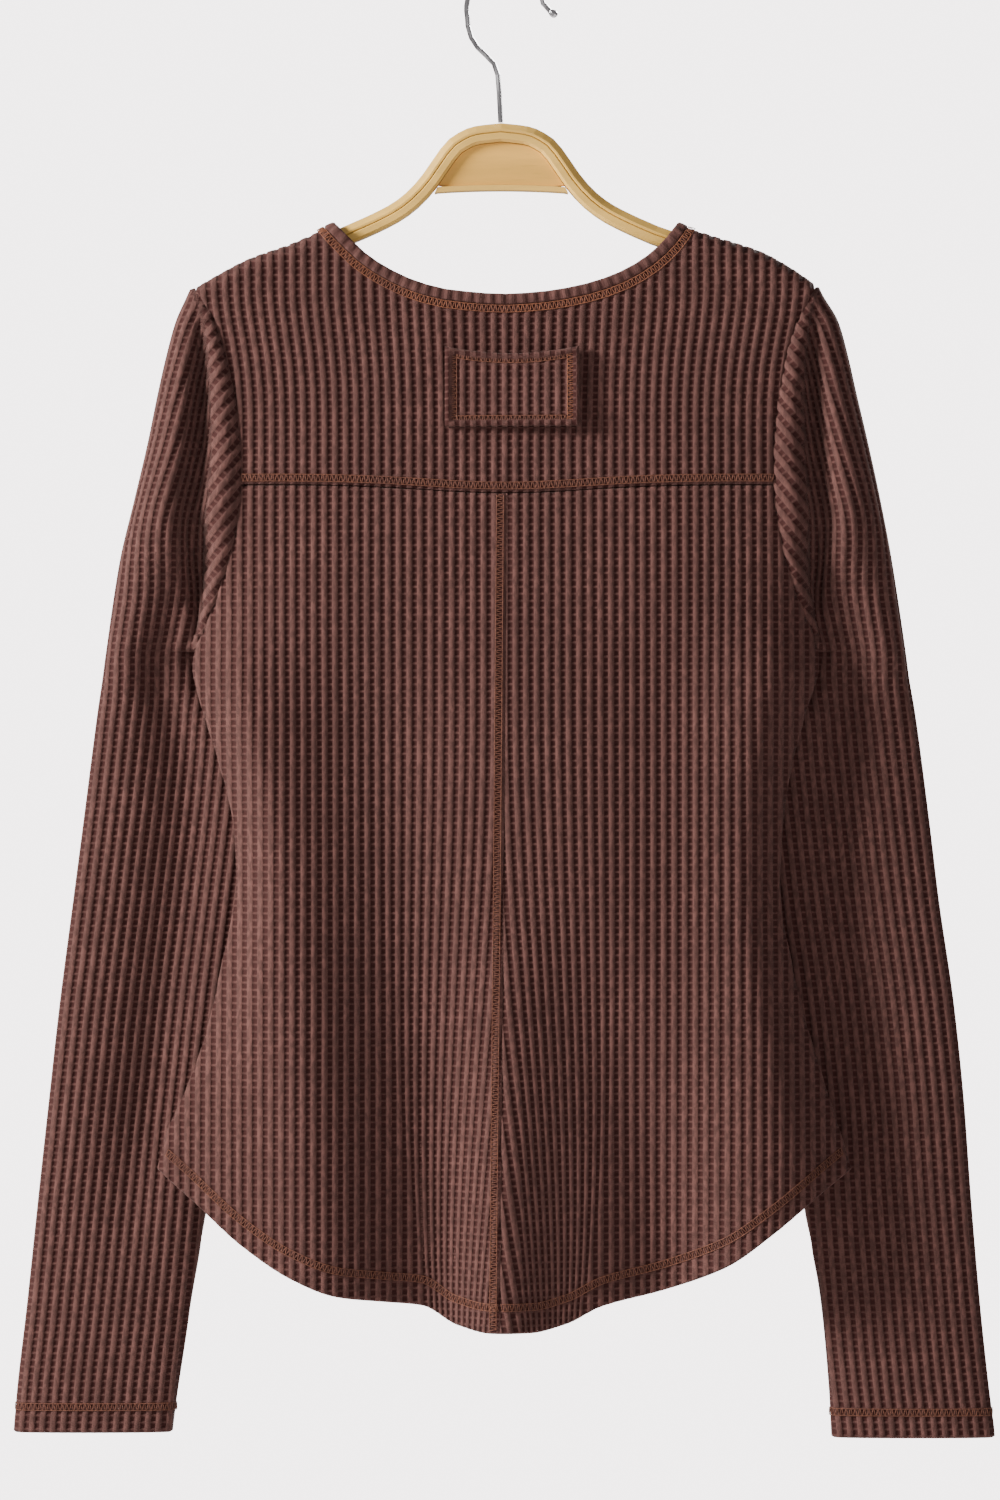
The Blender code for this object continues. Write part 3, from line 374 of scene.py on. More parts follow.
# ---- colours
RIB_BROWN = (0.119, 0.0525, 0.0440)
# The cells' colour is painted shade, a darker copy of the rib's brown standing in for the shade in
# the knit's hollows.
CELL_PAINTED_SHADE = (0.044, 0.0120, 0.0100)
THREAD_RUST = (0.300, 0.115, 0.062)
THREAD_BROWN = (0.200, 0.080, 0.050)
PALE_WOOD = (1, 0.61, 0.13)
PANEL_WOOD = (1, 0.55, 0.10)
WIRE = ((0.66, 0.66, 0.68), (0.80, 0.80, 0.82))
FLOOR_GREYS = ((0.80, 0.78, 0.78), (0.84, 0.82, 0.82))
BACKDROP = (1, 0.94, 0.945, 1)
# Painted shade: the cells get a darker copy of the rib's brown for the shade in their hollows, and
# this gives way to the rib's colour over these shares of the way to a middle.
RIB_SHADE = (0.36, 0.54)
BAR_SHADE = (0.52, 0.86)
# A cross bar keeps this share of the rib's colour and the rest of the cells' painted shade.
BAR_LIGHT = 0.66  # how light a cross bar is, as a share of a rib

# ---- the stage
VIEW_CENTRE = (-2.75, -427.35)  # x and z of the picture's centre
VIEW_HEIGHT = 825
VIEW_DISTANCE = 3000
SENSOR_HEIGHT = 36
AMBIENT = 0.22  # brightness of the surroundings for the object
WALL_BRIGHTNESS = 4.8  # and as the backdrop is seen
# Metres, and watts.
FLOOR_RADIUS = 3
FLOOR_LEVEL = -1.5
SEEN_TO = 50
LAMP_AIM = (0, 0, -0.42)
LAMPS = table(
    "name x y z size power colour",
    ("key", -2.72, -1, 0.75, 0.8, 232, (1, 0.97, 0.95)),
    ("fill", 1.2, -2.8, 0.2, 1.4, 14, (1, 0.98, 1)),
    ("front", 1.2, 2.2, 0.8, 1.2, 75, (1, 0.98, 0.97)),
)

# ---- flat cuts, in metres and square metres, and what each piece hangs from
ARMS = "hanger_outer_band"
CUTS = table(
    "node width length area on",
    ("back_yoke", 0.352, 0.152, 0.0390, ARMS),
    ("back_left", 0.205, 0.460, 0.0760, ARMS),
    ("back_right", 0.205, 0.460, 0.0760, ARMS),
    ("front", 0.400, 0.590, 0.1750, ARMS),
    ("back_patch", 0.074, 0.044, None, "back_yoke"),
    ("neck_band", 0.560, 0.0110, 0.0041, ARMS),
    ("sleeve_left", 0.225, 0.640, 0.1180, ARMS),
    ("sleeve_right", 0.225, 0.640, 0.1180, ARMS),
)


# ---- curves
def curve(rows, key, value):
    """A smooth curve through two named columns of a table, straight beyond its ends."""
    xs = np.array([getattr(row, key) for row in rows])
    ys = np.array([getattr(row, value) for row in rows])
    steps = np.diff(ys) / np.diff(xs)
    before, after = steps[:-1], steps[1:]
    together = before * after > 0
    total = np.where(together, before + after, 1.0)
    between = np.where(together, 2 * before * after / total, 0.0)
    slopes = np.concatenate([steps[:1], between, steps[-1:]])

    def at(x):
        x = np.asarray(x, dtype=float)
        i = np.clip(np.searchsorted(xs, x, side="right") - 1, 0, len(xs) - 2)
        width = xs[i + 1] - xs[i]
        t = np.clip((x - xs[i]) / width, 0.0, 1.0)
        rest = 1 - t
        start = rest * rest * ((1 + 2 * t) * ys[i] + t * width * slopes[i])
        end = t * t * ((3 - 2 * t) * ys[i + 1] - rest * width * slopes[i + 1])
        beyond = np.minimum(x - xs[0], 0.0) * slopes[0] + np.maximum(x - xs[-1], 0.0) * slopes[-1]
        return start + end + beyond

    return at


def ease(t):
    """0 to 1, flat at both ends."""
    t = np.clip(t, 0.0, 1.0)
    return t * t * (3 - 2 * t)


def ramp(value, low, high):
    """0 below low, 1 above high, and smooth between them."""
    return ease((value - low) / (high - low))


def mix(a, b, t):
    return a + (b - a) * t


def hump(distance, width):
    return np.exp(-((distance / width) ** 2))


def unit(vectors):
    """Vectors of length 1."""
    return vectors / np.maximum(np.linalg.norm(vectors, axis=-1, keepdims=True), 1e-9)


def body_edge(value):
    """Edge of the body over the drop, with the armhole in straight cuts."""
    line = curve(BODY_EDGES, "drop", value)
    rows = np.array(ARMHOLE_ROWS)
    cuts = line(rows)

    def at(drop):
        drop = np.asarray(drop, dtype=float)
        in_armhole = (drop > rows[0]) & (drop < rows[-1])
        return np.where(in_armhole, np.interp(drop, rows, cuts), line(drop))

    return at


edge_left = body_edge("left")
edge_right = body_edge("right")
shoulder_left = curve(SHOULDERS, "reach", "left")
shoulder_right = curve(SHOULDERS, "reach", "right")
belly_back = curve(BELLIES, "drop", "back")
belly_front = curve(BELLIES, "drop", "front")
hem_back = curve(HEM, "x", "back")
hem_front = curve(HEM, "x", "front")


def shoulder_drop(x):
    """Drop of the shoulder line, carried on in a straight line over the neck."""
    x = np.asarray(x, dtype=float)
    first = SHOULDERS[0]
    start = np.where(x < 0, first.left, first.right)
    over_neck = start - (first.reach - np.abs(x)) * SHOULDER_SLOPE
    line = np.where(x < 0, shoulder_left(np.abs(x)), shoulder_right(np.abs(x)))
    return np.where(np.abs(x) < first.reach, over_neck, line)


def yoke_seam(x):
    return YOKE_DROP + YOKE_SAG * hump(x, YOKE_SAG_WIDTH)


def centre_seam(drop):
    return mix(CENTRE_TOP, CENTRE_FOOT, (drop - YOKE_DROP) / (HEM_CENTRE - YOKE_DROP))


def moved(line, by):
    """A line, moved by a distance."""
    return lambda at: line(at) + by


def held_between(line, low, high):
    """A line over the drop, held at its value at low and at high beyond them."""
    return lambda drop: line(np.clip(drop, low, high))


# ---- the body's form
def fold_rise(folds, x, drop):
    """How far the folds stand out from the plain wall."""
    total = 0.0
    for fold in folds:
        way = (drop - fold.top_drop) / (fold.foot_drop - fold.top_drop)
        along = ease(way)
        centre = mix(fold.top_x, fold.foot_x, along)
        width = mix(fold.width_top, fold.width_foot, along)
        rise = mix(fold.rise_top, fold.rise_foot, along) * ease(along * FOLD_START)
        total = total + rise * hump(x - centre, width)
    return total


class Wall:
    """One side of the body: its middle surface over x and drop, with outward normals."""

    def __init__(self, outward, belly, folds):
        self.outward, self.belly, self.folds = outward, belly, folds

    def depth(self, x, drop):
        """Distance from the plane of the side seams, less than 0 on the back."""
        left, right = edge_left(drop), edge_right(drop)
        above = ease((UNDERARM - drop) / LENS_BLEND)
        half = (right - left) / 2 * (1 + LENS_SPREAD * above)
        off_centre = np.minimum(np.abs(x - (left + right) / 2) / half, 1.0)
        stand = WALL / 2 + self.belly(drop) * (1 - off_centre**LENS_POWER)
        stand = stand + fold_rise(self.folds, x, drop) * ease((1 - off_centre) * FOLD_FADE)
        below = np.maximum(drop - shoulder_drop(x), 0.0) * SHOULDER_COSINE
        unrolled = 1 - np.minimum(below / SHOULDER_ROLL, 1.0)
        rolled = np.sqrt(np.maximum(1 - unrolled * unrolled, 0.0))
        return self.outward * (SEAM_GAP / 2 + stand * rolled)

    def place(self, x, drop):
        """Points of the surface and their outward normals."""
        step = 0.4
        across = (self.depth(x + step, drop) - self.depth(x - step, drop)) / (2 * step)
        low, high = drop + step, np.maximum(drop - step, shoulder_drop(x))
        down = (self.depth(x, low) - self.depth(x, high)) / (low - high)
        normal = unit(np.stack([-across, np.ones_like(across), down], axis=-1) * self.outward)
        return np.stack([x, self.depth(x, drop), -drop], axis=-1), normal


BACK = Wall(-1, belly_back, BACK_FOLDS)
FRONT = Wall(1, belly_front, FRONT_FOLDS)


def neck_line(side, offset):
    """The neck edge moved outwards by offset, from the left shoulder to the right."""
    line = curve(NECK, "x", side)
    first, last = NECK[0].x, NECK[-1].x
    step = 0.6
    points = []
    for i in range(NECK_STEPS + 1):
        turn = math.pi * i / NECK_STEPS
        x = mix(first, last, (1 - math.cos(turn)) / 2)
        low, high = max(x - step, first), min(x + step, last)
        slope = float(line(high) - line(low)) / (high - low)
        outward = Vector((-slope, 1.0)).normalized()
        at_end = 1 - min(i, NECK_STEPS - i) / NECK_END_STEPS
        if at_end > 0:
            sideways = -1 if i < NECK_STEPS / 2 else 1
            along = Vector((sideways, SHOULDER_SLOPE)).normalized()
            outward = outward.lerp(along, at_end).normalized()
        point = Vector((x, float(line(x)))) + outward * offset
        points.append((point.x, max(point.y, float(shoulder_drop(point.x)))))
    return np.array(points)


def top_line(side):
    """Neck and shoulders as one line over x."""
    neck = neck_line(side, NECK_BAND - BAND_LAP)
    tip = SHOULDERS[-1].reach

    def at(x):
        beside = (x < neck[0, 0]) | (x > neck[-1, 0])
        x = np.clip(x, -tip, tip)
        return np.where(beside, shoulder_drop(x), np.interp(x, neck[:, 0], neck[:, 1]))

    return at


# ---- meshes
def turned_out(vertices, faces):
    """The faces, all turned round if they enclose a negative volume."""
    points = np.asarray(vertices)
    fans = [(face[0], b, c) for face in faces for b, c in zip(face[1:], face[2:])]
    a, b, c = (points[list(corner)] for corner in zip(*fans))
    volume = float((a * np.cross(b, c)).sum())
    return faces if volume > 0 else [face[::-1] for face in faces]


def shown(name, data):
    """A new object in the scene."""
    thing = bpy.data.objects.new(name, data)
    bpy.context.scene.collection.objects.link(thing)
    return thing


def new_piece(name, vertices, faces, uvs, material):
    """A mesh piece from millimetre points, its knit coordinates kept as a UV map."""
    faces = turned_out(vertices, faces)
    data = bpy.data.meshes.new(name)
    data.from_pydata((np.asarray(vertices) * MM).tolist(), [], faces)
    if uvs is not None:
        layer = data.uv_layers.new(name="knit")
        corners = np.empty(len(data.loops), dtype=np.int32)
        data.loops.foreach_get("vertex_index", corners)
        layer.data.foreach_set("uv", np.asarray(uvs)[corners].astype(np.float32).ravel())
    data.shade_smooth()
    data.materials.append(material)
    thing = shown(name, data)
    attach(thing, "root")
    return thing


def grid_faces(index):
    """Quads between the rows and columns of an index, and triangles where two corners are one."""
    quads = np.stack([index[:-1, :-1], index[:-1, 1:], index[1:, 1:], index[1:, :-1]], axis=-1)
    quads = quads.reshape(-1, 4)
    distinct = (np.diff(np.sort(quads, axis=-1), axis=-1) > 0).sum(axis=-1) + 1
    faces = quads[distinct == 4].tolist()
    for quad in quads[distinct == 3].tolist():
        face = [a for a, b in zip(quad, quad[-1:] + quad[:-1]) if a != b]
        if len(face) == 3:
            faces.append(face)
    return faces


def open_loop(faces):
    """The one loop of edges that only one face has."""
    seen = set()
    for face in faces:
        seen.update(zip(face, face[1:] + face[:1]))
    follow = {a: b for a, b in seen if (b, a) not in seen}
    loop = [min(follow)]
    while follow[loop[-1]] != loop[0]:
        loop.append(follow[loop[-1]])
    return loop


def spaced(low, high, pitch, shares):
    """Numbers at the shares of each pitch, from just below low to just above high."""
    first, last = math.floor(low / pitch) - 1, math.ceil(high / pitch) + 1
    return np.array([(k + share) * pitch for k in range(first, last + 1) for share in shares])


def plain_inside(outline, rows, columns):
    """Triangles over an outline with a few points inside it."""
    points = [Vector(p) for p in outline]
    path = np.array(outline)
    after = np.roll(path, -1, axis=0)
    for y in rows:
        crosses = (path[:, 1] > y) != (after[:, 1] > y)
        a, b = path[crosses], after[crosses]
        hits = np.sort(a[:, 0] + (y - a[:, 1]) / (b[:, 1] - a[:, 1]) * (b[:, 0] - a[:, 0]))
        for x in columns:
            inside = np.searchsorted(hits, x) % 2 == 1
            if inside and np.min(np.hypot(path[:, 0] - x, path[:, 1] - y)) > INNER_CLEAR:
                points.append(Vector((x, y)))
    face = list(range(len(outline)))
    flat, _, faces, _, _, origin = delaunay_2d_cdt(points, [], [face], 0, 1e-4)
    return np.array([tuple(p) for p in flat]), [f for f, source in zip(faces, origin) if source]


# ---- the knit
def knit_height(p, q):
    """Height of the waffle knit from 0 to 1, over ribs p and cross bars q."""
    rib = 1 - 2 * np.abs(p - np.round(p))
    bar = 1 - 2 * np.abs(q - np.round(q))
    return np.maximum(ramp(rib, *RIB_FLANK), BAR_SHARE * ramp(bar, *BAR_FLANK))


def pressed(distance):
    """How flat the knit is at a distance from a row of stitches."""
    return PRESS * hump(distance, PRESSED)


def relief(height, flatness):
    """Outer offset from the wall's middle."""
    level = mix(height, PRESSED_HEIGHT, flatness)
    return WALL / 2 - CELL_DEPTH + (CELL_DEPTH + RIB_RISE) * level


# Lines of its edges, how its ribs and bars lie, distances from the rows of stitches that press
# it, 1 if it has a hem, the drops that its fine mesh covers, and the rise of a rolled rim.
PANEL_COLUMNS = "wall top foot left right warp bars presses hem span rim"
Panel = namedtuple("Panel", PANEL_COLUMNS, defaults=(0.0,))


def knit_grid(panel, drops, across):
    """The fine grid, pushed in to the panel's edges: x, drop, count of ribs, and faces."""
    rows, columns = np.meshgrid(drops, across, indexing="ij")
    drop = rows
    for _ in range(CLAMP_ROUNDS):
        free_x = panel.warp(columns, drop)
        x = np.clip(free_x, panel.left(drop), panel.right(drop))
        drop = np.clip(rows, panel.top(x), panel.foot(x))
    p = np.array([np.interp(row, free, across / RIB_PITCH) for row, free in zip(x, free_x)])
    keys = np.round(np.stack([x, drop], axis=-1) * KEYS_PER_MM).astype(np.int64).reshape(-1, 2)
    _, first, index = np.unique(keys, axis=0, return_index=True, return_inverse=True)
    x, drop, p = (values.ravel()[first] for values in (x, drop, p))
    return x, drop, p, grid_faces(index.reshape(rows.shape))


def cloth_panel(name, panel, material):
    """A knit wall: fine ribbed outside, plain inside, closed round its edge."""
    drops = spaced(*panel.span, BAR_PITCH, panel.bars)
    reach = WIDEST + HEM_LEAN
    across = spaced(-reach, reach, RIB_PITCH, RIB_COLUMNS)
    x, drop, p, faces = knit_grid(panel, drops, across)
    q = drop / BAR_PITCH

    to_edge = np.minimum(drop - panel.top(x), panel.foot(x) - drop + HEM_NO_ROLL * panel.hem)
    to_edge = np.minimum(to_edge, np.minimum(x - panel.left(drop), panel.right(drop) - x))
    flatness = np.max([pressed(press(x, drop)) for press in panel.presses], axis=0)
    height = relief(knit_height(p, q), flatness)
    if panel.rim:
        height = mix(height, WALL / 2 + panel.rim, hump(to_edge - RIM_AT, RIM_WIDTH))
    rolled = 1 - ease(to_edge / SEAM_ROLL)
    point, normal = panel.wall.place(x, drop)
    outer = point + normal * (height - rolled * ROLL_DEPTH)[:, None]

    loop = open_loop(faces)
    outline = list(zip(x[loop].tolist(), drop[loop].tolist()))
    if sum(a[0] * b[1] - b[0] * a[1] for a, b in zip(outline, outline[1:] + outline[:1])) < 0:
        faces = [face[::-1] for face in faces]
        loop, outline = loop[::-1], outline[::-1]
    inner_rows = np.arange(drops[0], drops[-1], INNER_SPACING)
    inner_columns = np.arange(across[0], across[-1], INNER_SPACING)
    flat, inner_faces = plain_inside(outline, inner_rows, inner_columns)
    in_x, in_drop = flat[:, 0], flat[:, 1]
    in_point, in_normal = panel.wall.place(in_x, in_drop)
    turned_up = ease((in_drop - panel.foot(in_x) + HEM_TURN + HEM_SLOPE) / HEM_SLOPE) * panel.hem
    room = np.abs(panel.wall.depth(in_x, in_drop)) - SEAM_GAP / 2 - WALL / 2
    thick = WALL / 2 + np.minimum(HEM_EXTRA * turned_up, room * ROOM_SHARE)
    inner = in_point - in_normal * thick[:, None]

    count = len(loop)
    middle = (outer[loop] + inner[:count]) / 2
    at_hem = (panel.foot(x[loop]) - drop[loop] < AT_FOLD) * panel.hem
    middle[:, 2] -= HEM_ROUND * at_hem
    inner_start, middle_start = len(outer), len(outer) + len(inner)
    faces += [[i + inner_start for i in reversed(face)] for face in inner_faces]
    for i in range(count):
        j = (i + 1) % count
        faces.append([loop[j], loop[i], middle_start + i, middle_start + j])
        faces.append([middle_start + j, middle_start + i, inner_start + i, inner_start + j])
    places = ((p, q), (in_x / RIB_PITCH, in_drop / BAR_PITCH), (p[loop], q[loop]))
    uvs = np.concatenate([np.stack(place, axis=-1) for place in places])
    return new_piece(name, np.concatenate([outer, inner, middle]), faces, uvs, material)


# ---- how ribs lie
def yoke_warp(u, drop):
    """Ribs of the yoke lean outwards towards the shoulders."""
    high = ease((SHOULDER_LEAN_FOOT - drop) / SHOULDER_LEAN_BLEND)
    out = np.clip(u / SHOULDER_LEAN_REACH, -LEAN_MOST, LEAN_MOST)
    return u + SHOULDER_LEAN * out * high * high


def half_warp(sign):
    """Ribs of a lower back panel fan out from the centre seam towards the hem."""

    def warp(u, drop):
        way = np.clip((drop - HEM_LEAN_TOP) / (HEM_CENTRE - HEM_LEAN_TOP), 0.0, LEAN_MOST)
        lean = HEM_LEAN * way**HEM_LEAN_POWER
        from_seam = sign * u + lean
        near = np.clip(1 - (from_seam - FLANK_NEAR) / FLANK_WIDTH, 0.0, 1.0)
        return u + sign * lean * near

    return warp


def straight(u, drop):
    return u + 0.0 * drop


# ---- the body and the patch
def from_row(line):
    """Distance in drop from a row of stitches that follows a line over x."""
    return lambda x, drop: drop - line(x)


def neck_row(side):
    line = neck_line(side, NECK_STITCH)
    return from_row(lambda x: np.interp(x, line[:, 0], line[:, 1]))


def from_centre_row(x, drop):
    return x - centre_seam(drop) + CENTRE_STITCH


def make_body(knit):
    """The yoke, the two lower halves of the back, and the front."""
    top = ARMHOLE_ROWS[0]
    low_left, low_right = HEM[0], HEM[-1]
    under_yoke = moved(yoke_seam, YOKE_GAP)
    hem_row = from_row(moved(hem_back, -HEM_STITCH))
    rows = (
        ("back_yoke", "yoke_knit", Panel(
            BACK, top_line("back"), yoke_seam,
            held_between(edge_left, top, YOKE_DROP), held_between(edge_right, top, YOKE_DROP),
            yoke_warp, BAR_ROWS, (neck_row("back"), from_row(moved(yoke_seam, -YOKE_STITCH))),
            0.0, YOKE_SPAN,
        )),
        ("back_left", "left_back_knit", Panel(
            BACK, under_yoke, hem_back,
            held_between(edge_left, YOKE_DROP, low_left.back), moved(centre_seam, SEAM_LAP),
            half_warp(-1), BAR_ROWS, (hem_row, from_centre_row), 1.0, LOWER_SPAN,
        )),
        ("back_right", "right_back_knit", Panel(
            BACK, under_yoke, hem_back,
            moved(centre_seam, -SEAM_LAP), held_between(edge_right, YOKE_DROP, low_right.back),
            half_warp(1), BAR_ROWS, (hem_row,), 1.0, LOWER_SPAN,
        )),
        ("front", "front_knit", Panel(
            FRONT, top_line("front"), hem_front,
            held_between(edge_left, top, low_left.front),
            held_between(edge_right, top, low_right.front),
            straight, BAR_ROWS_PLAIN, (neck_row("front"), from_row(moved(hem_front, -HEM_STITCH))),
            1.0, FRONT_SPAN,
        )),
    )
    return {node: cloth_panel(name, panel, knit) for node, name, panel in rows}


def patch_lift(x, drop):
    """Middle of the patch over the middle of the yoke's wall."""
    left, right = PATCH
    lie = WALL / 2 + RIB_RISE + SEAM_GAP + WALL / 2
    across = ease((x - left) / (right - left))
    down = ease((drop - PATCH_TOP) / (PATCH_FOOT - PATCH_TOP))
    return lie + PATCH_LIFT * across * mix(PATCH_TOP_SHARE, 1.0, down)


def patch_top(x):
    left, right = PATCH
    middle = (left + right) / 2
    return PATCH_TOP + PATCH_SAG * (1 - ((x - middle) / (right - middle)) ** 2)


def patch_foot(x):
    return PATCH_FOOT + PATCH_WAVE * np.cos(2 * math.pi * x / RIB_PITCH)


class PatchWall:
    """The yoke's wall moved out by the patch's lift."""

    def depth(self, x, drop):
        """Deep enough for a patch without a turned hem."""
        return BACK.depth(x, drop) - HEM_TURN

    def place(self, x, drop):
        point, normal = BACK.place(x, drop)
        return point + normal * patch_lift(x, drop)[..., None], normal


def make_patch(knit):
    left, right = PATCH
    foot = PATCH_FOOT - PATCH_STITCH_FOOT
    patch = Panel(
        PatchWall(), patch_top, patch_foot, lambda d: left + 0.0 * d, lambda d: right + 0.0 * d,
        straight, BAR_ROWS,
        (lambda x, drop: x - left - PATCH_STITCH, lambda x, drop: right - PATCH_STITCH - x,
         lambda x, drop: foot - drop, from_row(moved(patch_top, PATCH_STITCH_TOP))),
        0.0, PATCH_SPAN, RIM_RISE,
    )
    return cloth_panel("patch_knit", patch, knit)


# ---- threads and bands
def lengths(path):
    """Distance along a path to each of its points."""
    return np.concatenate([[0.0], np.cumsum(np.linalg.norm(np.diff(path, axis=0), axis=1))])


def resampled(points, spacing, closed=False):
    """Points at an even spacing along a line of points."""
    if closed:
        points = np.concatenate([points, points[:1]])
    length = lengths(points)
    count = max(2, round(length[-1] / spacing))
    at = np.linspace(0.0, length[-1], count + 1)[: count if closed else count + 1]
    return np.stack([np.interp(at, length, column) for column in points.T], axis=-1)


def swept(rings, closed):
    """Vertices and faces of a strip through rings of points."""
    count, around = rings.shape[:2]
    faces = []
    for i in range(count if closed else count - 1):
        j = (i + 1) % count
        for k in range(around):
            m = (k + 1) % around
            faces.append([i * around + k, i * around + m, j * around + m, j * around + k])
    if not closed:
        faces.append(list(range(around))[::-1])
        faces.append([(count - 1) * around + k for k in range(around)])
    return rings.reshape(-1, 3), faces


def thread_tube(path, radius):
    """A thread along a path."""
    way = unit(np.gradient(path, axis=0))
    side = unit(np.cross(way, np.array(ASIDE)))
    up = np.cross(side, way)
    turn = 2 * math.pi * np.arange(THREAD_SIDES)[:, None] / THREAD_SIDES
    ring = side[:, None] * np.cos(turn) + up[:, None] * np.sin(turn)
    return swept(path[:, None] + ring * radius, False)


def joined(parts):
    vertices, faces, start = [], [], 0
    for points, polygons in parts:
        vertices.append(points)
        faces += [[i + start for i in polygon] for polygon in polygons]
        start += len(points)
    return np.concatenate(vertices), faces


def cover_stitch(points, normals):
    """Strokes of thread to and fro over a seam, with a needle thread at each side."""
    path = resampled(np.concatenate([points, normals], axis=1), STITCH_PITCH)
    middle, normal = path[:, :3], unit(path[:, 3:])
    way = unit(np.gradient(middle, axis=0))
    side = unit(np.cross(way, normal))
    half = STITCH_WIDTH / 2
    strokes = []
    for i in range(len(middle)):
        sign = 1 if i % 2 == 0 else -1
        for share, lift in STROKE:
            at = middle[i] + side[i] * (sign * share * half) + normal[i] * (STITCH_LIFT + lift)
            strokes.append(at + way[i] * (STITCH_SLANT * STITCH_PITCH * share))
    parts = [thread_tube(np.array(strokes), THREAD)]
    wave = NEEDLE_LIFT * (1 + np.cos(math.pi * np.arange(len(middle))))[:, None]
    for edge in (-1, 1):
        row = middle + side * (edge * STITCH_WIDTH * NEEDLE_AT) + normal * (STITCH_LIFT + wave)
        parts.append(thread_tube(row, NEEDLE_THREAD))
    return joined(parts)


def make_stitches(rust, brown):
    """Threads over the seams, hems and the patch's edges."""

    def add(name, material, *rows):
        """One piece from rows of stitches, each over x and drop on a wall."""
        parts = []
        for wall, x, drop in rows:
            point, normal = wall.place(x, drop)
            parts.append(cover_stitch(point + normal * RIB_TOP, normal))
        pieces.append(new_piece(name, *joined(parts), None, material))

    pieces = []
    for side, wall in (("back", BACK), ("front", FRONT)):
        line = resampled(neck_line(side, NECK_STITCH), NECK_SPACING)
        add(f"neck_{side}_thread", rust, (wall, *line.T))

    ends = float(edge_left(YOKE_DROP)) + YOKE_END, float(edge_right(YOKE_DROP)) - YOKE_END
    xs = np.linspace(*ends, num=90)
    add("yoke_thread", brown, (BACK, xs, yoke_seam(xs) - YOKE_STITCH))
    drops = np.linspace(YOKE_DROP + CENTRE_START, HEM_CENTRE - CENTRE_END, num=150)
    add("centre_thread", brown, (BACK, centre_seam(drops) - CENTRE_STITCH, drops))
    first, last = HEM[0].x + HEM_END, HEM[-1].x - HEM_END
    for name, wall, hem, ends in (
        ("hem_left_thread", BACK, hem_back, (first, CENTRE_FOOT - HEM_GAP)),
        ("hem_right_thread", BACK, hem_back, (CENTRE_FOOT + HEM_GAP, last)),
        ("hem_front_thread", FRONT, hem_front, (first, last)),
    ):
        xs = np.linspace(*ends, num=120)
        add(name, brown, (wall, xs, hem(xs) - HEM_STITCH))

    wall = PatchWall()
    left, right = PATCH[0] + PATCH_STITCH, PATCH[1] - PATCH_STITCH
    down = np.linspace(PATCH_TOP + PATCH_START, PATCH_FOOT - PATCH_END, num=24)
    over = np.linspace(left + PATCH_INSET, right - PATCH_INSET, num=24)
    foot = np.full_like(over, PATCH_FOOT - PATCH_STITCH_FOOT)
    add("patch_thread", rust, (wall, np.full_like(down, right), down))
    add(
        "patch_rim_thread", brown, (wall, np.full_like(down, left), down), (wall, over, foot),
        (wall, over, patch_top(over) + PATCH_STITCH_TOP),
    )
    return pieces


def squared(value, power):
    """A sine or cosine, with its curve made squarer."""
    return math.copysign(abs(value) ** power, value)


def make_neck_band(knit):
    """The folded band round the neck, with its ribs across it."""
    sides = []
    for side, wall in (("back", BACK), ("front", FRONT)):
        inner, normal = wall.place(*neck_line(side, 0.0).T)
        outer, _ = wall.place(*neck_line(side, NECK_BAND).T)
        sides.append(np.concatenate([inner, outer, normal], axis=1))
    back, front = sides
    for row, lean in ((back[0], -SHOULDER_SLOPE), (back[-1], SHOULDER_SLOPE)):
        row[[1, 4]] = 0.0
        row[6:] = (lean, 0.0, 1.0)
    ring = np.concatenate([back, front[-2:0:-1]])
    ring = resampled(ring, RIB_PITCH / BAND_STEPS, closed=True)
    inner, outer, normal = ring[:, :3], ring[:, 3:6], unit(ring[:, 6:])
    length = lengths(inner)
    p = length / length[-1] * round(length[-1] / RIB_PITCH)
    cells = knit_height(p, np.full_like(p, 0.5)) * BAND_RELIEF - BAND_SINK
    middle, reach = (inner + outer) / 2, (outer - inner) / 2
    half = BAND_WALL / 2
    sections = []
    for k in range(BAND_AROUND):
        turn = 2 * math.pi * k / BAND_AROUND
        rise = squared(math.sin(turn), BAND_CROWN)
        lift = half - WALL / 2 + rise * half + max(rise, 0.0) * cells
        across = squared(math.cos(turn), BAND_SQUARE)
        sections.append(middle + reach * across + normal * lift[:, None])
    points, faces = swept(np.stack(sections, axis=1), True)
    p = np.repeat(p, BAND_AROUND)
    return new_piece("neck_band_knit", points, faces, np.stack([p, 0.0 * p], axis=-1), knit)


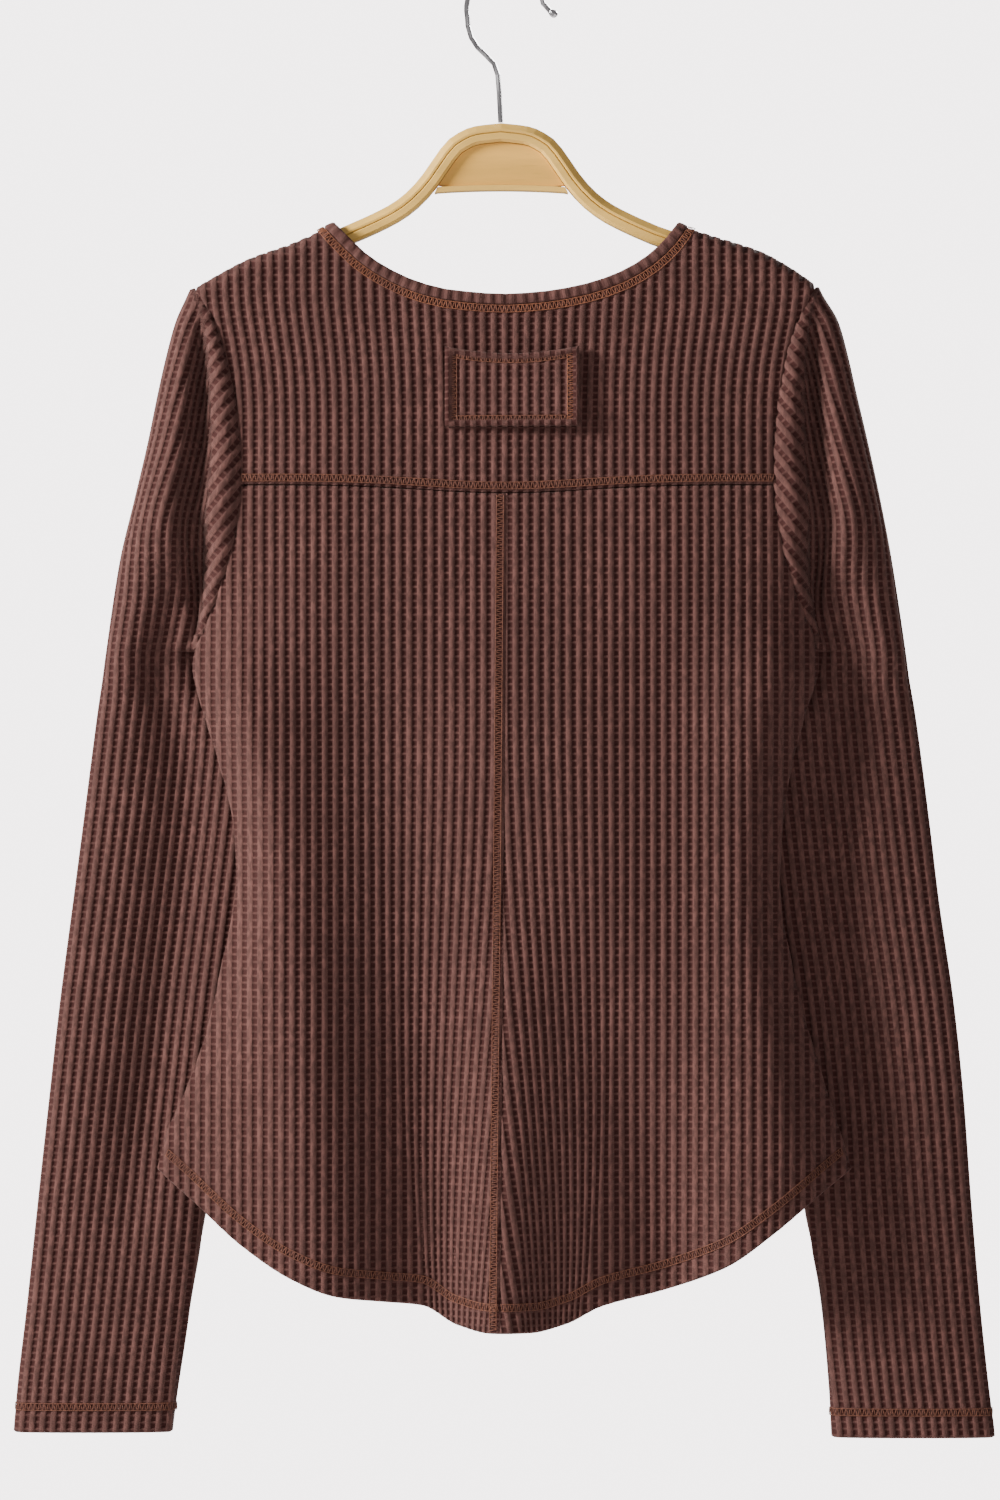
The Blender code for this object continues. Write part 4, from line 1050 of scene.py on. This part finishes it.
# ---- the sleeves
class SleeveForm:
    """Sections of one sleeve's wall, over the drop."""

    def __init__(self, side):
        self.sign = side.sign
        self.outer_edge = curve(SLEEVES, "drop", "out_" + side.name)
        self.inner_edge = curve(SLEEVES, "drop", "in_" + side.name)
        self.armhole = edge_left if side.sign < 0 else edge_right
        self.depths = [curve(SLEEVE_DEPTHS, "drop", key) for key in ("outer", "inner", "half")]
        self.valleys = [curve(VALLEYS, "drop", key) for key in ("at", "width", "depth", "front")]

    def valley(self, drop):
        """Place, width, depth and front share of the valley beside the armhole."""
        level = np.clip(drop, VALLEYS[0].drop, VALLEYS[-1].drop)
        return [line(level) for line in self.valleys]

    def section(self, drop):
        """Middle of the wall at one drop, from the back seam round to the front seam."""
        slit = drop < UNDERARM
        turn_in = ease((drop - UNDERARM) / SLEEVE_BLEND)
        edge = float(self.armhole(drop))
        start_x = edge - self.sign * ARMHOLE_LAP if slit else self.inner_edge(drop)
        end_y, inner_y, half = (line(drop) for line in self.depths)
        half = half * ease((drop - SLEEVE_TOP) / TIP_LENGTH)
        pulled = ease((drop - PULL_TOP) / PULL_BLEND)
        at, width, valley, front = self.valley(drop)
        strip = STRIP_RISE * ease(valley / STRIP_START)
        trough = TROUGH_DEPTH * ease((drop - TROUGH_TOP) / TROUGH_FADE)
        trough *= ease((TROUGH_FOOT - drop) / TROUGH_FADE)
        power = mix(BULGE_POWER_TOP, BULGE_POWER_FOOT, turn_in)
        t = np.linspace(0.0, 1.0, SECTION_STEPS + 1)
        reach = mix(np.sin(math.pi * t / 2), (1 - np.cos(math.pi * t)) / 2, turn_in)
        share = mix(t**SHARE_POWER, t, turn_in)
        bulge = half * np.maximum(np.sin(math.pi * t), 0.0) ** power
        hold = ease(reach / SEAM_HOLD) * ease((1 - reach) / SEAM_HOLD)
        halves = []
        for side, wall in ((-1, BACK), (1, FRONT)):
            start_y = wall.depth(edge, drop) if slit else inner_y
            line = mix(start_y, end_y, share)
            line += pulled * (start_y - inner_y) * (hump(t, PULL_WIDTH) - (1 - share))
            crease = valley * hump(reach - at, width)
            if side < 0:
                crease = crease - strip * hump(reach - STRIP_AT * at, STRIP_WIDTH * at)
                crease = crease + trough * hump(reach - TROUGH_AT, TROUGH_WIDTH)
            else:
                crease = crease * front
            x = mix(start_x, self.outer_edge(drop), reach)
            halves.append(np.stack([x, line + side * bulge + crease * hold, reach], axis=-1))
        return halves

    def at(self, drop, u):
        """Points at the distances u from the outer edge (negative on the back), and shares."""
        back, front = self.section(drop)
        path = np.concatenate([back, front[-2::-1]])
        length = lengths(path[:, :2])
        length -= length[len(back) - 1]
        clipped = np.clip(u, length[0], length[-1])
        x, y, reach = (np.interp(clipped, length, column) for column in path.T)
        return np.stack([x, y, np.full_like(x, -drop)], axis=-1), reach, clipped


def sleeve_normals(form, drops, points, around, closed):
    """Outward normals over the sleeve's grid, the same on both sides of a closed seam."""
    step = 0.8
    way = [form.at(d, u + step)[0] - form.at(d, u - step)[0] for d, u in zip(drops, around)]
    normal = unit(np.cross(np.gradient(points, axis=0), np.stack(way)) * form.sign)
    together = unit(normal[:, 0] + normal[:, -1])[:, None, :]
    for edge in (around[:, :1], around[:, -1:]):
        end = closed & (around == edge)
        normal[end] = np.broadcast_to(together, normal.shape)[end]
    return normal


def sleeve_shell(drops, outer, inner, coarse):
    """Vertices and faces of a sleeve: outside, inside, turned cuff and the edges of its slit."""
    outer_index = np.arange(outer.size // 3).reshape(outer.shape[:2])
    inner_index = np.arange(inner.size // 3).reshape(inner.shape[:2]) + outer_index.size
    fold = (outer[-1] + inner[-1]) / 2 - np.array([0.0, 0.0, HEM_ROUND])
    fold_index = np.arange(len(fold)) + outer_index.size + inner_index.size
    faces = grid_faces(outer_index)
    faces += [face[::-1] for face in grid_faces(inner_index)]
    faces += grid_faces(np.stack([outer_index[-1], fold_index, inner_index[-1]]))
    faces += grid_faces(np.stack([inner_index[0], outer_index[0]]))
    slit = int(np.searchsorted(drops[coarse], UNDERARM))
    for side, turn in ((0, -1), (-1, 1)):
        for a in range(slit):
            fine = outer_index[coarse[a] : coarse[a + 1] + 1, side].tolist()
            inner_a, inner_b = int(inner_index[a, side]), int(inner_index[a + 1, side])
            faces += [[inner_a, above, below][::turn] for above, below in zip(fine, fine[1:])]
            faces.append([inner_a, fine[-1], inner_b][::turn])
    return np.concatenate([outer.reshape(-1, 3), inner.reshape(-1, 3), fold]), faces


def make_sleeve(side, form, knit):
    sign, cuff = side.sign, side.cuff
    drops = spaced(SLEEVE_TOP, cuff, BAR_PITCH, BAR_ROWS)
    drops = drops[(drops > SLEEVE_TOP + ROW_CLEAR) & (drops < cuff - ROW_CLEAR)]
    drops = np.concatenate([[SLEEVE_TOP], drops, [cuff]])
    u = spaced(-SLEEVE_REACH, SLEEVE_REACH, RIB_PITCH, RIB_COLUMNS)
    points, reach, around = (np.stack(part) for part in zip(*[form.at(drop, u) for drop in drops]))

    # Trim the columns that lie beyond the seam in every row.
    used = np.abs(np.diff(around, axis=1)).max(axis=0) > 0
    keep = np.concatenate([[True], used]) | np.concatenate([used, [True]])
    points, reach, around = points[:, keep], reach[:, keep], around[:, keep]
    rows = np.repeat(drops[:, None], around.shape[1], axis=1)
    closed = rows > UNDERARM
    normal = sleeve_normals(form, drops, points, around, closed)

    # On the strip beside the armhole the ribs lean.
    in_strip = (reach < STRIP_EDGE * form.valley(rows)[0]) & (around < 0)
    in_strip &= rows < UNDERARM - STRIP_CLEAR
    cosine, sine = math.cos(STRIP_LEAN), sign * math.sin(STRIP_LEAN)
    leaning = points[..., 0] * cosine - rows * sine, rows * cosine + points[..., 0] * sine
    p = np.where(in_strip, leaning[0], around) / RIB_PITCH
    q = np.where(in_strip, leaning[1], rows) / BAR_PITCH

    height = relief(knit_height(p, q), pressed(rows - (cuff - HEM_STITCH)))
    full = np.maximum(ease((rows - SLEEVE_TOP) / TIP_LENGTH), TIP_RELIEF)
    seam = np.minimum(np.abs(around - around[:, :1]), np.abs(around - around[:, -1:]))
    at_seam = 1 - ease(seam / SEAM_ROLL)
    offset = mix(WALL / 2, height, full) - SLEEVE_ROLL * at_seam * (rows < UNDERARM)
    offset = mix(offset, WALL / 2, at_seam * closed)
    outer = points + normal * offset[..., None]

    last_slit = int(np.searchsorted(drops, UNDERARM)) - 1
    ends = [last_slit, last_slit + 1, len(drops) - 1]
    coarse = np.unique(np.concatenate([np.arange(0, len(drops), INNER_EVERY), ends]))
    thick = WALL / 2 + HEM_EXTRA * (drops[coarse] > cuff - HEM_TURN)[:, None]
    inner = points[coarse] - normal[coarse] * thick[..., None]

    vertices, faces = sleeve_shell(drops, outer, inner, coarse)
    uv = np.stack([p, q], axis=-1)
    uvs = np.concatenate([uv.reshape(-1, 2), uv[coarse].reshape(-1, 2), uv[-1]])
    thing = new_piece(side.name + "_sleeve_knit", vertices, faces, uvs, knit)
    weld(thing, WELD)
    return thing


def weld(thing, distance):
    """Join points closer than a distance in mm, and drop what collapses."""
    mesh = bmesh.new()
    mesh.from_mesh(thing.data)
    bmesh.ops.remove_doubles(mesh, verts=mesh.verts, dist=distance * MM)
    bmesh.ops.dissolve_degenerate(mesh, edges=mesh.edges, dist=distance * MM / 4)
    mesh.to_mesh(thing.data)
    mesh.free()
    thing.data.shade_smooth()


def cuff_stitch(side, form, material):
    u = np.linspace(-SLEEVE_REACH, SLEEVE_REACH, num=400)
    points, _, around = form.at(side.cuff - HEM_STITCH, u)
    _, first = np.unique(np.round(around, 2), return_index=True)
    points = points[first]
    way = unit(np.roll(points, -1, axis=0) - np.roll(points, 1, axis=0))
    normal = unit(np.cross(np.array([0.0, 0.0, -1.0]), way) * form.sign)
    vertices, faces = cover_stitch(points + normal * RIB_TOP, normal)
    return new_piece(f"cuff_{side.name}_thread", vertices, faces, None, material)


# ---- materials
def shade(colour, share):
    return tuple(part * share for part in colour)


class Shading:
    """A material's nodes, made one call at a time."""

    def __init__(self, name, settings):
        self.material = bpy.data.materials.new(name)
        self.material.use_nodes = True
        self.tree = self.material.node_tree
        self.shader = self.tree.nodes["Principled BSDF"]
        for socket, value in settings.items():
            self.shader.inputs[socket].default_value = value

    def link(self, source, node, socket):
        """A number or colour is set on the socket, and anything else is linked to it."""
        field = node.inputs[socket]
        if isinstance(source, (int, float)):
            field.default_value = source
        elif isinstance(source, tuple):
            field.default_value = (*source, 1.0)[: len(field.default_value)]
        else:
            self.tree.links.new(source, field)

    def add(self, kind, sources, **options):
        """The outputs of a new node with its options and sources."""
        node = self.tree.nodes.new("ShaderNode" + kind)
        for option, value in options.items():
            setattr(node, option, value)
        for socket, source in sources.items():
            self.link(source, node, socket)
        return node.outputs

    def math(self, operation, *values):
        return self.add("Math", dict(enumerate(values)), operation=operation)[0]

    def remap(self, value, low, high, to_low=0.0, to_high=1.0):
        sources = {"Value": value, "From Min": low, "From Max": high}
        sources.update({"To Min": to_low, "To Max": to_high})
        return self.add("MapRange", sources, interpolation_type="SMOOTHSTEP")["Result"]

    def mix(self, factor, a, b):
        return self.add("Mix", {0: factor, 6: a, 7: b}, data_type="RGBA")[2]

    def noise(self, place, scale, detail=3.0, roughness=0.55, stretch=(1.0, 1.0, 1.0)):
        place = self.add("Mapping", {"Vector": place, "Scale": stretch})[0]
        sources = {"Vector": place, "Scale": scale, "Detail": detail, "Roughness": roughness}
        return self.add("TexNoise", sources)["Fac"]

    def place(self):
        return self.add("TexCoord", {})["Object"]

    def knit_place(self):
        parts = self.add("SeparateXYZ", {"Vector": self.add("UVMap", {}, uv_map="knit")["UV"]})
        return parts[0], parts[1]

    def bump(self, height, strength, distance):
        bumped = self.add("Bump", {"Height": height, "Strength": strength, "Distance": distance})
        self.link(bumped[0], self.shader, "Normal")

    def colour(self, value):
        self.link(value, self.shader, "Base Color")


def knit_material():
    """Waffle knit: smooth raised ribs, cells between low cross bars darkened with painted shade,
    fine yarn.
    """
    look = Shading("waffle_knit_look", {
        "Roughness": 0.93, "Specular IOR Level": 0.25, "Sheen Weight": 0.08,
        "Sheen Roughness": 0.5, "Sheen Tint": (0.85, 0.62, 0.55, 1.0),
    })
    p, q = look.knit_place()

    def triangle(value):
        """1 at whole numbers and 0 halfway between them."""
        off = look.math("ABSOLUTE", look.math("SUBTRACT", value, look.math("ROUND", value)))
        return look.math("MULTIPLY_ADD", off, -2.0, 1.0)

    # Masks of the ribs and bars, where the cells' painted shade gives way to the rib's colour.
    rib = look.remap(triangle(p), *RIB_SHADE)
    bar = look.remap(triangle(q), *BAR_SHADE)
    height = look.math("MAXIMUM", rib, look.math("MULTIPLY", bar, BAR_LIGHT))
    place = look.place()
    cloudy = look.noise(place, scale=26.0)
    fuzz = look.noise(place, scale=900.0, detail=2.0, roughness=0.7)
    yarn = look.noise(place, scale=420.0, detail=2.0, roughness=0.6, stretch=(1.0, 1.0, 0.45))
    worn = look.mix(look.remap(cloudy, 0.3, 0.7), RIB_BROWN, shade(RIB_BROWN, 1.22))
    speckled = look.mix(look.remap(yarn, 0.35, 0.68), shade(RIB_BROWN, 0.68), worn)
    # Painted shade: the low parts of the knit get the darker cell colour, and the ribs and bars
    # keep the yarn's colour.
    look.colour(look.mix(height, CELL_PAINTED_SHADE, speckled))

    # Rows of small stitches slant to the two sides of each rib.
    slant = look.math("MULTIPLY_ADD", triangle(p), 1.1, look.math("MULTIPLY", q, 4.0))
    stitch = look.math("SINE", look.math("MULTIPLY", slant, 2 * math.pi))
    fine = look.math("MULTIPLY_ADD", fuzz, 0.9, look.math("MULTIPLY", stitch, 0.22))
    look.bump(look.math("MULTIPLY_ADD", height, 1.2, fine), strength=0.65, distance=0.0005)
    return look.material


def thread_material(name, colour):
    look = Shading(name, {"Roughness": 0.62, "Specular IOR Level": 0.2})
    place = look.place()
    twist = look.noise(place, scale=1500.0, detail=1.0, roughness=0.5)
    patchy = look.noise(place, scale=45.0, detail=2.0, roughness=0.5)
    base = look.mix(look.remap(twist, 0.35, 0.7), shade(colour, 0.60), shade(colour, 1.25))
    look.colour(look.mix(look.remap(patchy, 0.45, 0.8, 0.0, 0.45), base, RIB_BROWN))
    look.bump(twist, strength=0.3, distance=0.0002)
    return look.material


def wood_material(name, colour, stretch):
    """Pale lacquered wood: long grain along its strips, and fine pores."""
    look = Shading(name, {"Roughness": 0.42, "Coat Weight": 0.15, "Coat Roughness": 0.25})
    place = look.place()
    grain = look.noise(place, 55.0, detail=5.0, roughness=0.6, stretch=stretch)
    pores = look.noise(place, 420.0, detail=2.0, roughness=0.6, stretch=stretch)
    base = look.mix(look.remap(grain, 0.35, 0.7), shade(colour, 0.78), colour)
    look.colour(look.mix(look.remap(pores, 0.60, 0.75, 0.0, 0.35), base, shade(colour, 0.6)))
    look.bump(pores, strength=0.12, distance=0.0002)
    return look.material


def wire_material():
    look = Shading("chrome_look", {"Metallic": 1.0})
    scratches = look.noise(look.place(), scale=300.0, roughness=0.6, stretch=(1.0, 1.0, 0.2))
    look.colour(look.mix(look.remap(scratches, 0.3, 0.7), *WIRE))
    look.link(look.remap(scratches, 0.3, 0.7, 0.12, 0.24), look.shader, "Roughness")
    return look.material


def dress_hanger(nodes):
    pale = wood_material("pale_wood_look", PALE_WOOD, (0.25, 1.0, 1.0))
    panel = wood_material("panel_wood_look", PANEL_WOOD, (0.12, 1.0, 1.0))
    looks = dict.fromkeys(("outer_band", "inner_band", "rail"), pale)
    looks.update(panel=panel, hook=wire_material())
    for name, look in looks.items():
        for slot in nodes["hanger_" + name].material_slots:
            slot.material = look


# ---- the stage and the camera
def make_stage():
    mesh = bmesh.new()
    bmesh.ops.create_circle(mesh, cap_ends=True, segments=96, radius=FLOOR_RADIUS)
    data = bpy.data.meshes.new("floor")
    mesh.to_mesh(data)
    mesh.free()
    look = Shading("floor_look", {"Roughness": 0.8})
    look.colour(look.mix(look.noise(look.place(), scale=3.0), *FLOOR_GREYS))
    data.materials.append(look.material)
    floor = shown("floor", data)
    floor.location = (0.0, 0.0, FLOOR_LEVEL)

    world = bpy.data.worlds.new("studio")
    world.use_nodes = True
    tree = world.node_tree
    background = tree.nodes["Background"]
    background.inputs["Color"].default_value = BACKDROP
    rays = tree.nodes.new("ShaderNodeLightPath")
    strength = tree.nodes.new("ShaderNodeMapRange")
    strength.inputs["To Min"].default_value = AMBIENT
    strength.inputs["To Max"].default_value = WALL_BRIGHTNESS
    tree.links.new(rays.outputs["Is Camera Ray"], strength.inputs["Value"])
    tree.links.new(strength.outputs["Result"], background.inputs["Strength"])
    bpy.context.scene.world = world

    for lamp in LAMPS:
        light = bpy.data.lights.new(lamp.name, "AREA")
        light.size = lamp.size
        light.energy = lamp.power
        light.color = lamp.colour
        thing = shown(lamp.name, light)
        thing.location = (lamp.x, lamp.y, lamp.z)
        aim = Vector(LAMP_AIM) - thing.location
        thing.rotation_euler = aim.to_track_quat("-Z", "Y").to_euler()


def make_camera():
    """A level camera behind the wearer's back, as the picture was taken."""
    data = bpy.data.cameras.new("camera")
    data.sensor_fit = "VERTICAL"
    data.sensor_height = SENSOR_HEIGHT
    data.lens = SENSOR_HEIGHT * VIEW_DISTANCE / VIEW_HEIGHT
    data.clip_end = SEEN_TO
    camera = shown("camera", data)
    x, z = VIEW_CENTRE
    camera.location = (x * MM, -VIEW_DISTANCE * MM, z * MM)
    camera.rotation_euler = (math.pi / 2, 0.0, 0.0)
    bpy.context.scene.camera = camera


# ---- all together
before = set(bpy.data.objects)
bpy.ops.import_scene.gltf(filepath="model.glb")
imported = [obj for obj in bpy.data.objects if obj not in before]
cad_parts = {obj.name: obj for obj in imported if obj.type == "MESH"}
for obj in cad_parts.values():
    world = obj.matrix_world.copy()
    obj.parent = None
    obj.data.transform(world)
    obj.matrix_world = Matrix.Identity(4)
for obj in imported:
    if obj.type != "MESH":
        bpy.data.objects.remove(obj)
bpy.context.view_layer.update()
make_camera()
make_stage()
knit = knit_material()
rust = thread_material("rust_thread_look", THREAD_RUST)
brown = thread_material("brown_thread_look", THREAD_BROWN)
cloth = make_body(knit)
cloth["back_patch"] = make_patch(knit)
cloth["neck_band"] = make_neck_band(knit)
for side in SIDES:
    form = SleeveForm(side)
    cloth["sleeve_" + side.name] = make_sleeve(side, form, knit)
    cuff_stitch(side, form, brown)
for cut in CUTS:
    piece = cloth[cut.node]
    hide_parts(cut.node)
for piece in make_stitches(rust, brown):
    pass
dress_hanger(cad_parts)
